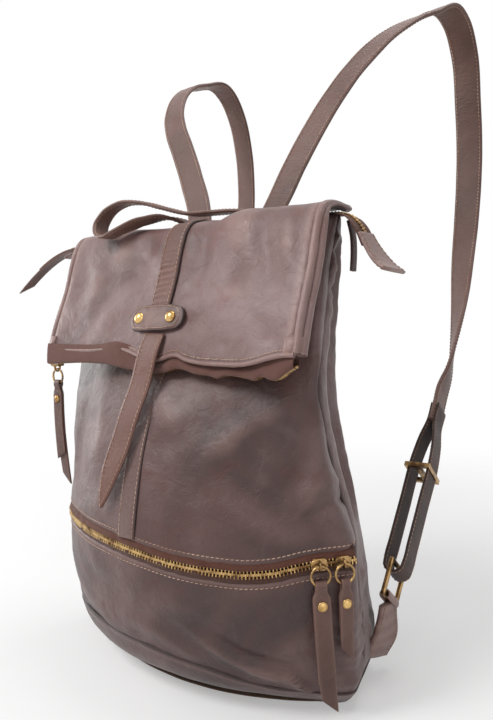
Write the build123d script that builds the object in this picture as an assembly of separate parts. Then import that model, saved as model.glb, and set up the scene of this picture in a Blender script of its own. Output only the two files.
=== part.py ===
from build123d import *
import os
from math import atan2, cos, degrees, radians, sin, sqrt

# A soft leather backpack standing on its base: a tall sack with a curved front pocket,
# a fold-over flap that holds a pocket of its own, two shoulder straps and a carry loop.
# Millimetres. +Z is up, -Y is the bag's front, +Y faces the wearer, +X is the right side
# seen from the front. The origin is the middle of the base, on the floor.

# ---------------------------------------------------------------- driving dimensions
leather = 2.0               # body leather
lining = 0.9                # inner cloth
clear = 0.4                 # gap between pieces that move against each other
base_thickness = 3.0
mouth_z = 404.0             # top edge of the sack

# Outline of the sack at each height: z, half width at the front corner, y of that corner,
# y of the front's middle, half width at the back, y of the back.
zip_radius = 215.0          # front pocket zip, seen from above
zip_center_y = 95.0
zip_half_angle = 52.0
zip_z = 131.0
zip_gap = 8.0               # half the open width between the leather edges
corner_x = zip_radius * sin(radians(zip_half_angle))
corner_y = zip_center_y - zip_radius * cos(radians(zip_half_angle))
zip_front_y = zip_center_y - zip_radius
levels = [
    (base_thickness, 152, -24, -64, 138, 43),
    (18, 163, -33, -90, 143, 45),
    (45, 168, -37, -106, 144, 45),
    (80, 169, -38, -115, 141, 45),
    (zip_z - zip_gap, corner_x, corner_y, zip_front_y, 135, 45),
    (zip_z + zip_gap, corner_x, corner_y, zip_front_y, 132, 45),
    (180, 157, -44, -113, 124, 45),
    (225, 151, -47, -100, 116, 45),
    (260, 148, -47, -84, 112, 45),
    (292, 147, -42, -62, 113, 45),
    (328, 147, -36, -50, 119, 42),
    (365, 147, -27, -37, 130, 30),
    (mouth_z, 148, -12, -14, 144, 12),
]

pocket_depth = 25.0         # front pocket, measured back from its zip

# Zips: a chain of teeth between two tapes, a two-plate slider with a bail
teeth_half = 3.0
teeth_thick = 2.6
tape_thick = 0.8
slider_length = 13.0
slider_half = 4.9
plate = 1.5
bail_pivot = 5.9            # ring pivot above the zip's plane
ring_radius = 7.5
ring_wire = 1.0
pull_width = 10.0
pull_length = 92.0
loop_hole = 2.3
loop_outer = 3.8

# Flap, as points down its side from the back seam: y, z of the outer face
flap_half = 147.0
flap_piping = 6.0
flap_layer = 1.8
flap_lining_layer = 1.4
flap_line = [(12, 418.4), (-16, 418.4), (-29, 414), (-37, 405), (-42, 394),
             (-53, 362), (-68, 328), (-80.5, 296)]
flap_inner_line = [(12, 415.2), (-15, 415.2), (-24, 411), (-29, 404), (-32, 394),
                   (-41, 362), (-56.5, 328), (-69.5, 296)]

# Straps
strap_width = 30.0
strap_thick = 4.0
lower_width = 26.0
lower_thick = 2.4
lower_gap = 7.5             # inner half gap between the two lower strands
tie_u = Vector(0, 0.664, 0.748).normalized()    # way the lower strap runs, up and back
tie_w = Vector(0, 0.748, -0.664).normalized()   # across it
ring_center = Vector(164, 44, 82)
ring_length = 30.0          # bar centre to bar centre, along the strap
ring_width = 32.0           # side bar centre to side bar centre
ring_bar = 4.0

closure_width = 24.0
closure_thick = 3.0


# ---------------------------------------------------------------- helpers
def save(shape, name):
    export_step(shape, f"parts/{name}.step")


def mirrored(shape):
    """The same piece on the other side of the bag."""
    return shape.mirror(Plane.YZ)


def loft_faces(faces):
    return Solid.make_loft([f.outer_wire() for f in faces], ruled=True)


def flat_face(points):
    return Face(Wire.make_polygon([Vector(*p) for p in points], close=True))


def arc_strip(level, depth):
    """Face of a front wall at one height: the front arc, `depth` thick."""
    z, half, side_y, front_y = level[:4]
    outer = ThreePointArc((-half, side_y, z), (0, front_y, z), (half, side_y, z))
    inner = ThreePointArc((half, side_y + depth, z), (0, front_y + depth, z), (-half, side_y + depth, z))
    right = Line((half, side_y, z), (half, side_y + depth, z))
    left = Line((-half, side_y + depth, z), (-half, side_y, z))
    return Face(Wire([outer.edge(), right.edge(), inner.edge(), left.edge()]))


def front_wall(chosen):
    return loft_faces([arc_strip(level, leather) for level in chosen])


def gusset():
    """Right side wall, from the front corner back to the back corner."""
    faces = []
    for z, half, side_y, _, back_half, back_y in levels:
        run = Vector(back_half - half, back_y - side_y, 0).normalized()
        inward = Vector(-leather / run.Y, 0, 0)
        front = Vector(half, side_y, z) + run * (leather / run.Y)
        back = Vector(back_half, back_y, z) - run * (leather / run.Y)
        faces.append(Face(Wire.make_polygon([front, back, back + inward, front + inward], close=True)))
    return loft_faces(faces)


def back_wall():
    faces = []
    for z, _, _, _, half, back_y in levels:
        faces.append(flat_face([(-half, back_y, z), (half, back_y, z),
                                (half, back_y - leather, z), (-half, back_y - leather, z)]))
    return loft_faces(faces)


def plan_face(level, z):
    """Whole outline of the sack at one height."""
    _, half, side_y, front_y, back_half, back_y = level
    front = ThreePointArc((-half, side_y, z), (0, front_y, z), (half, side_y, z))
    rest = Polyline((half, side_y, z), (back_half, back_y, z), (-back_half, back_y, z), (-half, side_y, z))
    return Face(Wire([front.edge()] + list(rest.edges())))


def inset(level, gap):
    """The same outline, drawn in for the inner cloth and behind the front pocket."""
    z, half, side_y, front_y, back_half, back_y = level
    behind = pocket_depth if z < zip_z + zip_gap + 1 else 0
    front = front_y + gap + behind
    return (z, half - gap * 1.3, max(side_y, front + 1) + gap, front, back_half - gap * 1.3, back_y - gap)


def ribbon(points, width, thick, across=Vector(1, 0, 0), ends=None):
    """A strap through a list of points. Its width follows `across`: one direction, or one per point."""
    route = [Vector(*p) for p in points]
    faces = []
    for i, here in enumerate(route):
        before = route[max(i - 1, 0)]
        after = route[min(i + 1, len(route) - 1)]
        along = (after - before).normalized()
        wanted = across[i] if isinstance(across, list) else across
        side = (wanted - along * wanted.dot(along)).normalized()
        span = width if ends is None else ends.get(i, width)
        faces.append((Plane(here, x_dir=side, z_dir=along) * Rectangle(span, thick)).face())
    return loft_faces(faces)


def offset_line(line, distance):
    """A line of (y, z) points moved sideways, to the right of its direction of travel."""
    moved = []
    for i, (y, z) in enumerate(line):
        y0, z0 = line[max(i - 1, 0)]
        y1, z1 = line[min(i + 1, len(line) - 1)]
        if 0 < i < len(line) - 1:
            first = Vector(y - y0, z - z0, 0).normalized()
            second = Vector(y1 - y, z1 - z, 0).normalized()
            n0 = Vector(first.Y, -first.X, 0)
            n1 = Vector(second.Y, -second.X, 0)
            mean = (n0 + n1).normalized()
            reach = distance / mean.dot(n0)
        else:
            run = Vector(y1 - y0, z1 - z0, 0).normalized()
            mean = Vector(run.Y, -run.X, 0)
            reach = distance
        moved.append((y + mean.X * reach, z + mean.Y * reach))
    return moved


def side_sheet(first, second, x0, x1):
    """Solid between two (y, z) lines, from x0 to x1."""
    outline = [(x0, y, z) for y, z in first] + [(x0, y, z) for y, z in reversed(second)]
    return Solid.extrude(flat_face(outline), Vector(x1 - x0, 0, 0))


def box(x0, x1, y0, y1, z0, z1):
    return Pos((x0 + x1) / 2, (y0 + y1) / 2, (z0 + z1) / 2) * Box(x1 - x0, y1 - y0, z1 - z0)


def block(center, x_dir, z_dir, size):
    """A box of size (along x_dir, across, along z_dir), set square to two directions."""
    return Plane(center, x_dir=x_dir, z_dir=z_dir) * Box(*size)


# ---------------------------------------------------------------- zip hardware
# Drawn with the zip along X, its outside towards -Y and the ring hanging down.
def slider(bail_along=False):
    """Two plates with the chain between them. The bail's hole runs along the zip, or across it."""
    half_x = slider_length / 2
    gap = teeth_thick / 2 + clear
    outside = box(-half_x, half_x, -gap - plate, -gap, -slider_half, slider_half)
    rims = [box(-half_x, half_x, -gap, -tape_thick / 2 - clear, side * (slider_half + 3.6) / 2 - 0.65,
                side * (slider_half + 3.6) / 2 + 0.65) for side in (-1, 1)]
    bail = box(-1.3, 1.3, -bail_pivot - 2.9, -gap - plate, -3.2, 3.2)
    bail = bail - box(-2, 2, -bail_pivot - 1.4, -bail_pivot + 1.4, -1.8, 1.8)
    if bail_along:
        bail = Rot(0, 90, 0) * bail
    inside = box(-half_x, half_x, gap, gap + plate, -3.8, 3.8)
    return Compound([(outside + rims[0] + rims[1] + bail).solid(), inside.solid()])


def pull_ring():
    """Round ring, hanging from a pivot at the origin, flat to the zip."""
    return Pos(0, 0, -ring_radius) * Rot(90, 0, 0) * Torus(ring_radius, ring_wire)


pull_drop = 2 * ring_radius - 0.9      # from the ring's pivot down to the leather's own


def pull(length=pull_length):
    """Leather folded through the ring: a loop, then two layers, the rear one longer and pointed."""
    half = pull_width / 2
    ply = 1.9
    loop = Rot(0, 90, 0) * Cylinder(loop_outer, pull_width)
    front = box(-half, half, -ply, 0, -length * 0.8, -2.5)
    rear = box(-half, half, 0, ply, -length, -2.5)
    slant = Pos(half, -ply / 2, -length * 0.8 - 6) * Rot(0, -35, 0) * Box(40, 2 * ply, 12)
    point = Pos(-half, ply / 2, -length - 6) * Rot(0, 48, 0) * Box(60, ply, 16)
    hole = Rot(0, 90, 0) * Cylinder(loop_hole, pull_width + 2)
    body = loop + (front - slant) + (rear - point) - hole
    return Pos(0, 0, -pull_drop) * body.solid()


def pull_rivet():
    """Brass rivet on the outside of the pull: a disc with a low crown."""
    disc = Pos(0, -1.9 - 0.6, 0) * Rot(90, 0, 0) * Cylinder(3.6, 1.2)
    crown = Pos(0, -1.9 - 1.2 - 0.45, 0) * Rot(90, 0, 0) * Cone(3.6, 2.2, 0.9)
    return Pos(0, 0, -pull_drop - 16) * (disc + crown)


def place_on_pocket(shape, angle):
    """Stand a piece of zip hardware on the curved pocket zip, `angle` round from the middle."""
    turned = Pos(0, -zip_radius, zip_z) * shape
    return Pos(0, zip_center_y, 0) * Rot(0, 0, angle) * turned


def arc_band(radius0, radius1, z0, z1, half_angle=zip_half_angle):
    """A wall that follows the pocket zip, between two radii and two heights."""
    a = radians(half_angle)
    def at(r, t):
        return (r * sin(t), zip_center_y - r * cos(t), z0)
    outer = ThreePointArc(at(radius1, -a), at(radius1, 0), at(radius1, a))
    inner = ThreePointArc(at(radius0, a), at(radius0, 0), at(radius0, -a))
    joins = [Line(at(radius1, a), at(radius0, a)), Line(at(radius0, -a), at(radius1, -a))]
    face = Face(Wire([outer.edge(), joins[0].edge(), inner.edge(), joins[1].edge()]))
    return Solid.extrude(face, Vector(0, 0, z1 - z0))


# ---------------------------------------------------------------- the pieces
os.makedirs("parts", exist_ok=True)


def make_body():
    """Leather shell of the sack: base, walls, and the pocket front below its zip."""
    below = [level for level in levels if level[0] < zip_z]
    above = [level for level in levels if level[0] > zip_z]
    save(front_wall(above), "front_panel")
    save(front_wall(below), "pocket_panel")
    save(back_wall(), "back_panel")
    # the main zip runs out over both side walls, through a notch in their top edge
    notch = box(-200, 200, -7.5, 5.5, mouth_z - 4.5, mouth_z + 2)
    right = (gusset() - notch).solid()
    save(right, "right_gusset")
    save(mirrored(right), "left_gusset")
    save(Solid.extrude(plan_face(levels[0], 0), Vector(0, 0, base_thickness)), "base_panel")


def make_lining():
    """Cloth bag inside the sack, and the cloth wall that closes the front pocket."""
    floor = [(base_thickness + 0.4,) + levels[0][1:]] + levels[1:-1] + [(mouth_z - 3,) + levels[-1][1:]]
    outer = loft_faces([plan_face(inset(level, 4.5), level[0]) for level in floor])
    raised = [(floor[0][0] + lining,) + floor[0][1:]] + floor[1:-1] + [(mouth_z, ) + floor[-1][1:]]
    inner = loft_faces([plan_face(inset(level, 4.5 + lining), level[0]) for level in raised])
    notch = box(-200, 200, -6.5, 4.5, mouth_z - 6, mouth_z + 2)
    save((outer - inner - notch).solid(), "body_lining")
    walls = []
    for z, half, side_y, front_y, _, _ in levels:
        if z < zip_z + zip_gap + 1:
            walls.append(arc_strip((max(z, base_thickness + 0.4), half - 9, side_y - 3,
                                    front_y + pocket_depth - 2), lining))
    save(loft_faces(walls), "pocket_lining")


def make_front_strip():
    """Leather strip down the middle of the front, with the magnet that takes the closure tail."""
    thick = 1.6
    faces = []
    for z, _, _, front_y, _, _ in levels:
        if zip_z + zip_gap - 1 <= z <= 292:
            faces.append(flat_face([(-10, front_y - thick, z), (10, front_y - thick, z),
                                    (10, front_y, z), (-10, front_y, z)]))
    save(loft_faces(faces), "front_center_strip")
    lean = Vector(0, -13, -45).normalized()
    out = Vector(0, lean.Z, -lean.Y)
    seat = Vector(0, -106.8, 202) - out * (leather + 1.3)
    save(Plane(seat, x_dir=(1, 0, 0), z_dir=out) * Cylinder(8, 1.8), "front_magnet")


def make_pocket_zip():
    tape = [arc_band(zip_radius - tape_thick / 2, zip_radius + tape_thick / 2, z0, z1)
            for z0, z1 in ((zip_z - zip_gap, zip_z - teeth_half), (zip_z + teeth_half, zip_z + zip_gap))]
    save(Compound(tape), "pocket_zip_tape")
    save(arc_band(zip_radius - teeth_thick / 2, zip_radius + teeth_thick / 2,
                  zip_z - teeth_half, zip_z + teeth_half, zip_half_angle - 0.6), "pocket_zip_teeth")
    for name, angle, length in (("front", 44.0, pull_length), ("rear", 49.0, 52.0)):
        hung = Pos(0, -bail_pivot, 0)
        save(place_on_pocket(slider(), angle), f"pocket_{name}_slider")
        save(place_on_pocket(hung * pull_ring(), angle), f"pocket_{name}_ring")
        save(place_on_pocket(hung * pull(length), angle), f"pocket_{name}_pull")
        save(place_on_pocket(hung * pull_rivet(), angle), f"pocket_{name}_rivet")


main_y = -1.0
main_z = mouth_z + tape_thick / 2
main_slider_x = -165.0


def make_main_zip():
    """The zip across the sack's mouth, longer than the mouth: its ends stand out past both sides."""
    route = [(-182, main_z), (150, main_z), (158, main_z - 4), (164, main_z - 11), (169, main_z - 21)]

    def band(thick, y0, y1):
        upper = offset_line(route, -thick / 2)
        lower = offset_line(route, thick / 2)
        outline = [(x, y0, z) for x, z in upper] + [(x, y0, z) for x, z in reversed(lower)]
        return Solid.extrude(flat_face(outline), Vector(0, y1 - y0, 0))

    y0, y1 = main_y - teeth_half, main_y + teeth_half
    save(Compound([band(tape_thick, -14, y0), band(tape_thick, y1, 12)]), "main_zip_tape")
    save(band(teeth_thick, y0, y1), "main_zip_teeth")
    right_tab = ribbon([(171, main_y, main_z - 22.5), (192, main_y, main_z - 49)], 30, 3.6,
                       Vector(0, 1, 0), {0: 27, 1: 36})
    left_tab = ribbon([(-183, main_y, main_z), (-196, main_y, main_z)], 30, 3.0, Vector(0, 1, 0))
    save(right_tab, "main_zip_right_tab")
    save(left_tab, "main_zip_left_tab")
    face_up = Pos(main_slider_x, main_y, main_z) * Rot(-90, 0, 0)
    hung = face_up * Pos(0, -bail_pivot, 0) * Rot(0, 90, 0)
    save(face_up * slider(bail_along=True), "main_zip_slider")
    save(hung * pull_ring(), "main_zip_ring")
    save(hung * pull(), "main_zip_pull")
    save(hung * pull_rivet(), "main_zip_rivet")


flap_zip_y = -76.2
flap_zip_z = 286.7
flap_slider_x = -138.0


def make_flap():
    """Two leather layers with a pocket between them, rolled side edges, a zip along the hem."""
    outer_back = offset_line(flap_line, -flap_layer)
    inner_front = offset_line(flap_inner_line, flap_lining_layer)
    save(side_sheet(flap_line, outer_back, -flap_half, flap_half), "flap_outer")
    save(side_sheet(inner_front, flap_inner_line, -flap_half, flap_half), "flap_inner")
    edge = side_sheet(offset_line(flap_line, 1.0), flap_inner_line, flap_half, flap_half + flap_piping)
    save(edge, "right_flap_piping")
    save(mirrored(edge), "left_flap_piping")
    low, high = flap_zip_z - tape_thick / 2, flap_zip_z + tape_thick / 2
    near, far = flap_zip_y - teeth_half, flap_zip_y + teeth_half
    fold = 5.4
    front = box(-flap_half, flap_half, flap_zip_y - fold, near, low, high)
    front = front + box(-flap_half, flap_half, flap_zip_y - fold, flap_zip_y - fold + tape_thick, low, 295.8)
    back = box(-flap_half, flap_half, far, flap_zip_y + fold, low, high)
    back = back + box(-flap_half, flap_half, flap_zip_y + fold - tape_thick, flap_zip_y + fold, low, 294.6)
    save(Compound([front.solid(), back.solid()]), "flap_zip_tape")
    save(box(-flap_half, flap_half, near, far, flap_zip_z - teeth_thick / 2, flap_zip_z + teeth_thick / 2),
         "flap_zip_teeth")
    face_down = Pos(flap_slider_x, flap_zip_y, flap_zip_z) * Rot(90, 0, 0)
    hung = Pos(flap_slider_x, flap_zip_y, flap_zip_z - bail_pivot)
    save(face_down * slider(), "flap_zip_slider")
    save(hung * pull_ring(), "flap_zip_ring")
    save(hung * pull(), "flap_zip_pull")
    save(hung * pull_rivet(), "flap_zip_rivet")


def make_closure():
    """Strap over the flap, the oval keeper that holds it, and the loose tail below the keeper."""
    strap_line = flap_line[:-1] + [(-73.1, 315)]
    half = closure_width / 2
    save(side_sheet(offset_line(strap_line, closure_thick), strap_line, -half, half), "closure_strap")

    down = Vector(0, -12.5, -32).normalized()
    out = Vector(0, down.Z, -down.Y)
    middle = Vector(0, -69.1, 325.4)
    tall, low, high = 25.0, 0.2, 5.8
    seat = Plane(middle + out * low, x_dir=(1, 0, 0), z_dir=out)
    oval = extrude(seat * SlotOverall(64, tall), high - low)
    channel = block(middle + out * 1.15, (1, 0, 0), out, (closure_width + 0.6, 60, 4.5))
    holes = []
    rivets = []
    for side in (-1, 1):
        foot = middle + Vector(side * 20, 0, 0)
        shank = Plane(foot + out * (low + high) / 2, x_dir=(1, 0, 0), z_dir=out) * Cylinder(3, high - low)
        ball = Plane(foot + out * (high + 2.6 - 8.2), x_dir=(1, 0, 0), z_dir=out) * Sphere(8.2)
        cut = block(foot + out * (high - 12), (1, 0, 0), out, (30, 30, 24))
        holes.append(shank)
        rivets.append((shank + (ball - cut)).solid())
    save((oval - channel - holes[0] - holes[1]).solid(), "strap_keeper")
    save(Compound(rivets), "keeper_rivets")

    tail = [(2, -76.0, 312.6), (1, -84.6, 294), (-3, -93.5, 268), (-9, -105, 236),
            (-17, -114.5, 204), (-25, -121, 176), (-27.5, -123, 167)]
    save(ribbon(tail, closure_width, closure_thick - 0.4, Vector(1, 0, 0), {6: 5}), "closure_tail")
    lean = (Vector(*tail[5]) - Vector(*tail[4])).normalized()
    inward = Vector(1, 0, 0).cross(lean).normalized()
    seat = Vector(*tail[4]) + lean * 10 + inward * ((closure_thick - 0.4) / 2 + 0.9)
    save(Plane(seat, x_dir=(1, 0, 0), z_dir=inward) * Cylinder(6, 1.7), "tail_magnet")


def make_handle():
    """Carry loop, flopped over to the left and forwards on top of the flap."""
    loop = [(46, 4, 425), (20, 2, 428), (-12, -4, 427), (-40, -14, 435), (-64, -21, 442), (-84, -26, 443),
            (-100, -30, 435), (-105, -36, 424), (-98, -44, 412), (-82, -49, 407), (-66, -48, 413),
            (-51, -28, 424), (-40, -8, 427.5), (-30, 5, 426)]
    save(ribbon(loop, 18, 3.2, Vector(0, 1, 0)), "handle")


def make_yoke():
    """Patch at the top of the back that holds both shoulder straps."""
    lean = Vector(0, 12 - 30, mouth_z - 365).normalized()
    out = Vector(0, lean.Z, -lean.Y)
    middle = Vector(0, 21, 384.5) + out * 1.55
    save(block(middle, (1, 0, 0), out, (124, 36, 3.0)).solid(), "back_yoke")


def lower_strap():
    """Two strands with a bend round the ring's top bar, closing up at their upper end."""
    run, close, sewn = 120.0, 150.0, 172.0
    gap, out = lower_gap, lower_gap + lower_thick
    near, far = 2.1, 2.1 + lower_thick
    outer = Polyline((out, 0), (out, -run), (far, -close), (far, -sewn), (near, -sewn), (near, -close),
                     (gap, -run), (gap, 0))
    other = [(-x, y) for x, y in ((gap, 0), (gap, -run), (near, -close), (near, -sewn), (far, -sewn),
                                  (far, -close), (out, -run), (out, 0))]
    inner_bend = ThreePointArc((gap, 0), (0, gap), (-gap, 0))
    outer_bend = ThreePointArc((-out, 0), (0, out), (out, 0))
    flat = Face(Wire(list(outer.edges()) + [inner_bend.edge()] + list(Polyline(*other).edges())
                     + [outer_bend.edge()]))
    top_bar = ring_center + tie_u * (ring_length / 2)
    seat = Plane(top_bar - tie_w * (lower_width / 2), x_dir=(1, 0, 0), z_dir=tie_w)
    return seat * Solid.extrude(flat, Vector(0, 0, lower_width))


def strap_hardware():
    """Rectangular ring at the side tab, and the slide that runs on the lower strap."""
    seat = Plane(ring_center, x_dir=tie_w, z_dir=(1, 0, 0))
    ring = extrude(seat * Rectangle(ring_width + ring_bar, ring_length + ring_bar), ring_bar / 2, both=True)
    ring = ring - extrude(seat * Rectangle(ring_width - ring_bar, ring_length - ring_bar), ring_bar, both=True)
    ring = fillet(ring.edges(), 1.2)
    top_bar = ring_center + tie_u * (ring_length / 2)
    seat = Plane(top_bar + tie_u * 96, x_dir=(1, 0, 0), z_dir=tie_u)
    reach = lower_gap + lower_thick
    frame = Rectangle(2 * reach + 4.6, lower_width + 8.6) - Rectangle(2 * reach + 1, lower_width + 1)
    slide = extrude(seat * (frame + Rectangle(4, lower_width + 2)), 2.2, both=True)
    return ring, slide


strap_foot = ring_center + tie_u * (ring_length / 2)


def shoulder_strap(upper):
    """Wide strap from the lower strands round under the arm, over the shoulder, to the yoke."""
    start = [tuple(strap_foot + tie_u * s) for s in (151, 172, 190)]
    rise = [(166, 196, 254), (165, 222, 300), (164, 256, 372), (163, 280, 440), (163, 292, 505),
            (163, 292, 565), (164, 281, 612), (163, 258, 640), (160, 230, 647)]
    route = start + rise + upper
    turning = [0, 0, 0, 0.15, 0.4, 0.7, 0.9]
    sides = []
    for i in range(len(route)):
        share = turning[i] if i < len(turning) else 1
        sides.append(tie_w * (1 - share) + Vector(-1, 0, 0) * share)
    return ribbon(route, strap_width, strap_thick, sides)


def make_straps():
    right_upper = [(148, 204, 636), (133, 177, 622), (117, 155, 603), (100, 136, 577), (85, 117, 548),
                   (69, 98, 513), (53, 80, 473), (42, 61, 433), (38, 45, 411), (35, 33, 393)]
    left_upper = [(166, 206, 642), (167, 178, 632), (163, 154, 613), (153, 133, 586), (136, 116, 558),
                  (111, 99, 524), (84, 80, 484), (58, 61, 443), (44, 45, 413), (38, 33, 393)]
    ring, slide = strap_hardware()
    lower = lower_strap()
    low_bar = ring_center - tie_u * (ring_length / 2)
    # the tab is folded round the ring's lower bar and sewn into the seam below
    tab = ribbon([tuple(low_bar - tie_u * 3.6), (161, 31, 50), (156, 33, 32), (147, 33, 17)],
                 30, 4.4, tie_w, {0: 28, 1: 36, 2: 34, 3: 30})
    fold = Plane(low_bar, x_dir=(1, 0, 0), z_dir=tie_w) * Cylinder(5, 25)
    eye = Plane(low_bar, x_dir=(1, 0, 0), z_dir=tie_w) * Cylinder(3, 40)
    tab = (tab + fold - eye - gusset()).solids().sort_by(SortBy.VOLUME)[-1]
    for side, upper in (("right", right_upper), ("left", left_upper)):
        pieces = {"shoulder_strap": shoulder_strap(upper), "lower_strap": lower, "strap_ring": ring,
                  "strap_slide": slide, "side_tab": tab}
        for name, piece in pieces.items():
            save(piece if side == "right" else mirrored(piece), f"{side}_{name}")


make_body()
make_lining()
make_front_strip()
make_pocket_zip()
make_main_zip()
make_flap()
make_closure()
make_handle()
make_yoke()
make_straps()
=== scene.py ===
import bpy
import math
import numpy as np
from mathutils import Matrix, Vector, noise


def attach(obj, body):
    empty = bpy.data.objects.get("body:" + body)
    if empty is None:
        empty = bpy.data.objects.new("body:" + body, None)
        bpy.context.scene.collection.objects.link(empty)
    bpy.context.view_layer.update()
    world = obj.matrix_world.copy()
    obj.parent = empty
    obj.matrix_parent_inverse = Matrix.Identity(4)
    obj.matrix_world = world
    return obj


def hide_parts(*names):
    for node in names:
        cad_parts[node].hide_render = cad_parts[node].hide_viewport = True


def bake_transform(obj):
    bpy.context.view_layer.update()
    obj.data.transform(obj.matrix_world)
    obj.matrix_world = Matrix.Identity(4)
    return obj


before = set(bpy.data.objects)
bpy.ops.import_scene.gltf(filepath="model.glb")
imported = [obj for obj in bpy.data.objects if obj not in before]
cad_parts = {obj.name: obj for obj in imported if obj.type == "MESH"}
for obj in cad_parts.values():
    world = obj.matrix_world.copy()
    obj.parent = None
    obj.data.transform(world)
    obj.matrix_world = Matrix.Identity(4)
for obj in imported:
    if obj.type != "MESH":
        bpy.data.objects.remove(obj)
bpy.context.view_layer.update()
mm = 0.001

# Shapes are worked out in millimetres and turned into metres where a mesh is made.


def vec(*v):
    return np.array(v, float)


def unit(a):
    a = np.asarray(a, float)
    return a / np.maximum(np.linalg.norm(a, axis=-1, keepdims=True), 1e-9)


def ease(a, low, high):                      # 0 below low, 1 above high, smooth between
    t = np.clip((np.asarray(a, float) - low) / (high - low), 0, 1)
    return t * t * (3 - 2 * t)


def bell(a, middle, width):
    return np.exp(-(((a - middle) / width) ** 2))


def through(pairs):                          # a smooth function through (place, value) pairs
    places = np.array([p[0] for p in pairs], float)
    values = np.array([p[1] for p in pairs], float)
    slopes = np.gradient(values, places, axis=0)

    def at(x):
        x = np.asarray(x, float)
        i = np.clip(np.searchsorted(places, x, side="right") - 1, 0, len(places) - 2)
        h = places[i + 1] - places[i]
        t = np.clip((x - places[i]) / h, 0, 1)
        if values.ndim > 1:
            t, h = t[..., None], h[..., None]
        keep, turn = (1 + 2 * t) * (1 - t) ** 2, t * (1 - t) ** 2 * h
        return (keep * values[i] + turn * slopes[i]
                + t * t * (3 - 2 * t) * values[i + 1] + t * t * (t - 1) * h * slopes[i + 1])
    return at


def along(points):                           # distance run along a line of points
    points = np.asarray(points, float)
    return np.concatenate([[0], np.cumsum(np.linalg.norm(np.diff(points, axis=0), axis=1))])


def wander(points, size, seed=0):            # soft noise from -1 to 1, size in millimetres
    flat = np.asarray(points, float).reshape(-1, 3) / size + seed * 13.7
    return np.array([noise.noise(Vector(p)) for p in flat.tolist()]).reshape(np.shape(points)[:-1])


def foldHeight(a, b, strokes):               # strokes: ([(a, b), ...], width, height)
    total = np.zeros(np.shape(a))
    for points, width, height in strokes:
        best, share, run = np.full(np.shape(a), 1e9), np.zeros(np.shape(a)), 0.0
        whole = along(points)[-1]
        for (a0, b0), (a1, b1) in zip(points, points[1:]):
            length = math.hypot(a1 - a0, b1 - b0)
            t = np.clip(((a - a0) * (a1 - a0) + (b - b0) * (b1 - b0)) / length ** 2, 0, 1)
            gap = np.hypot(a - a0 - t * (a1 - a0), b - b0 - t * (b1 - b0))
            near = gap < best
            best, share = np.where(near, gap, best), np.where(near, (run + t * length) / whole, share)
            run += length
        fade = np.sin(np.pi * np.clip(share, 0, 1)) ** 0.7
        total += height * fade * (1.35 * bell(best, 0, width) - 0.35 * bell(best, 0, 2.3 * width))
    return total


def makeObject(name, points, faces, finish, body, uv=None, marks=None, smooth=True, stands=()):
    mesh = bpy.data.meshes.new(name)
    mesh.from_pydata((np.asarray(points) * mm).tolist(), [], faces)
    mesh.update()
    if smooth:
        mesh.polygons.foreach_set("use_smooth", [True] * len(mesh.polygons))
    if uv is not None:
        layer = mesh.uv_layers.new(name="lay")
        loops = np.zeros(len(mesh.loops), np.int64)
        mesh.loops.foreach_get("vertex_index", loops)
        layer.uv.foreach_set("vector", (np.asarray(uv)[loops] * mm).astype(np.float32).ravel())
    for mark, values in (marks or {}).items():
        layer = mesh.attributes.new(mark, "FLOAT", "POINT")
        layer.data.foreach_set("value", np.asarray(values, np.float32).ravel())
    mesh.materials.append(finish)
    made = bpy.data.objects.new(name, mesh)
    bpy.context.scene.collection.objects.link(made)
    if isinstance(body, str):
        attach(made, body)
    if stands:
        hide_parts(*stands)
    return made


def gridNormals(points):
    return unit(np.cross(np.gradient(points, axis=1), np.gradient(points, axis=0)))


def edgeRuns(points):                        # distance of each grid point from the four edges
    step = np.linalg.norm(np.diff(points, axis=1), axis=2)
    left = np.concatenate([np.zeros((len(points), 1)), np.cumsum(step, axis=1)], axis=1)
    step = np.linalg.norm(np.diff(points, axis=0), axis=2)
    low = np.concatenate([np.zeros((1, points.shape[1])), np.cumsum(step, axis=0)], axis=0)
    return {"left": left, "right": left[:, -1:] - left, "low": low, "high": low[-1:] - low}


def sheetFaces(points, normals, thick):
    # a closed sheet: the grid, the same grid one thickness in, and a rounded edge between
    rows, cols = points.shape[:2]
    inner = points - normals * thick
    index = np.arange(rows * cols).reshape(rows, cols)
    rim = ([(0, c) for c in range(cols)] + [(r, cols - 1) for r in range(1, rows)]
           + [(rows - 1, c) for c in range(cols - 2, -1, -1)] + [(r, 0) for r in range(rows - 2, 0, -1)])
    middles = []
    for r, c in rim:
        r2, c2 = min(max(r, 1), rows - 2), min(max(c, 1), cols - 2)
        out = unit(points[r, c] - points[r2, c2])
        middles.append((points[r, c] + inner[r, c]) / 2 + out * thick * 0.35)
    quads = np.stack([index[:-1, :-1], index[:-1, 1:], index[1:, 1:], index[1:, :-1]], -1).reshape(-1, 4)
    total = rows * cols
    faces = quads.tolist() + (quads[:, ::-1] + total).tolist()
    count = len(rim)
    for k in range(count):
        j = (k + 1) % count
        a, b = index[rim[k]], index[rim[j]]
        m, n = 2 * total + k, 2 * total + j
        faces += [[int(b), int(a), m, n], [n, m, int(a) + total, int(b) + total]]
    rimIndex = [int(index[p]) for p in rim]
    return np.concatenate([points.reshape(-1, 3), inner.reshape(-1, 3), middles]), faces, rimIndex


def makeSheet(name, points, normals, thick, finish, body, marks=None, **rest):
    # points run in rows from low to high and in columns from left to right, seen from outside
    allPoints, faces, rimIndex = sheetFaces(points, normals, thick)
    runs = edgeRuns(points)
    uv = np.stack([runs["left"], runs["low"]], -1).reshape(-1, 2)
    full = {}
    for mark, values in (marks or {}).items():
        flat = np.broadcast_to(values, points.shape[:2]).ravel()
        full[mark] = np.concatenate([flat, flat, flat[rimIndex]])
    uv = np.concatenate([uv, uv, uv[rimIndex]])
    return makeObject(name, allPoints, faces, finish, body, uv=uv, marks=full, **rest)


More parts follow.
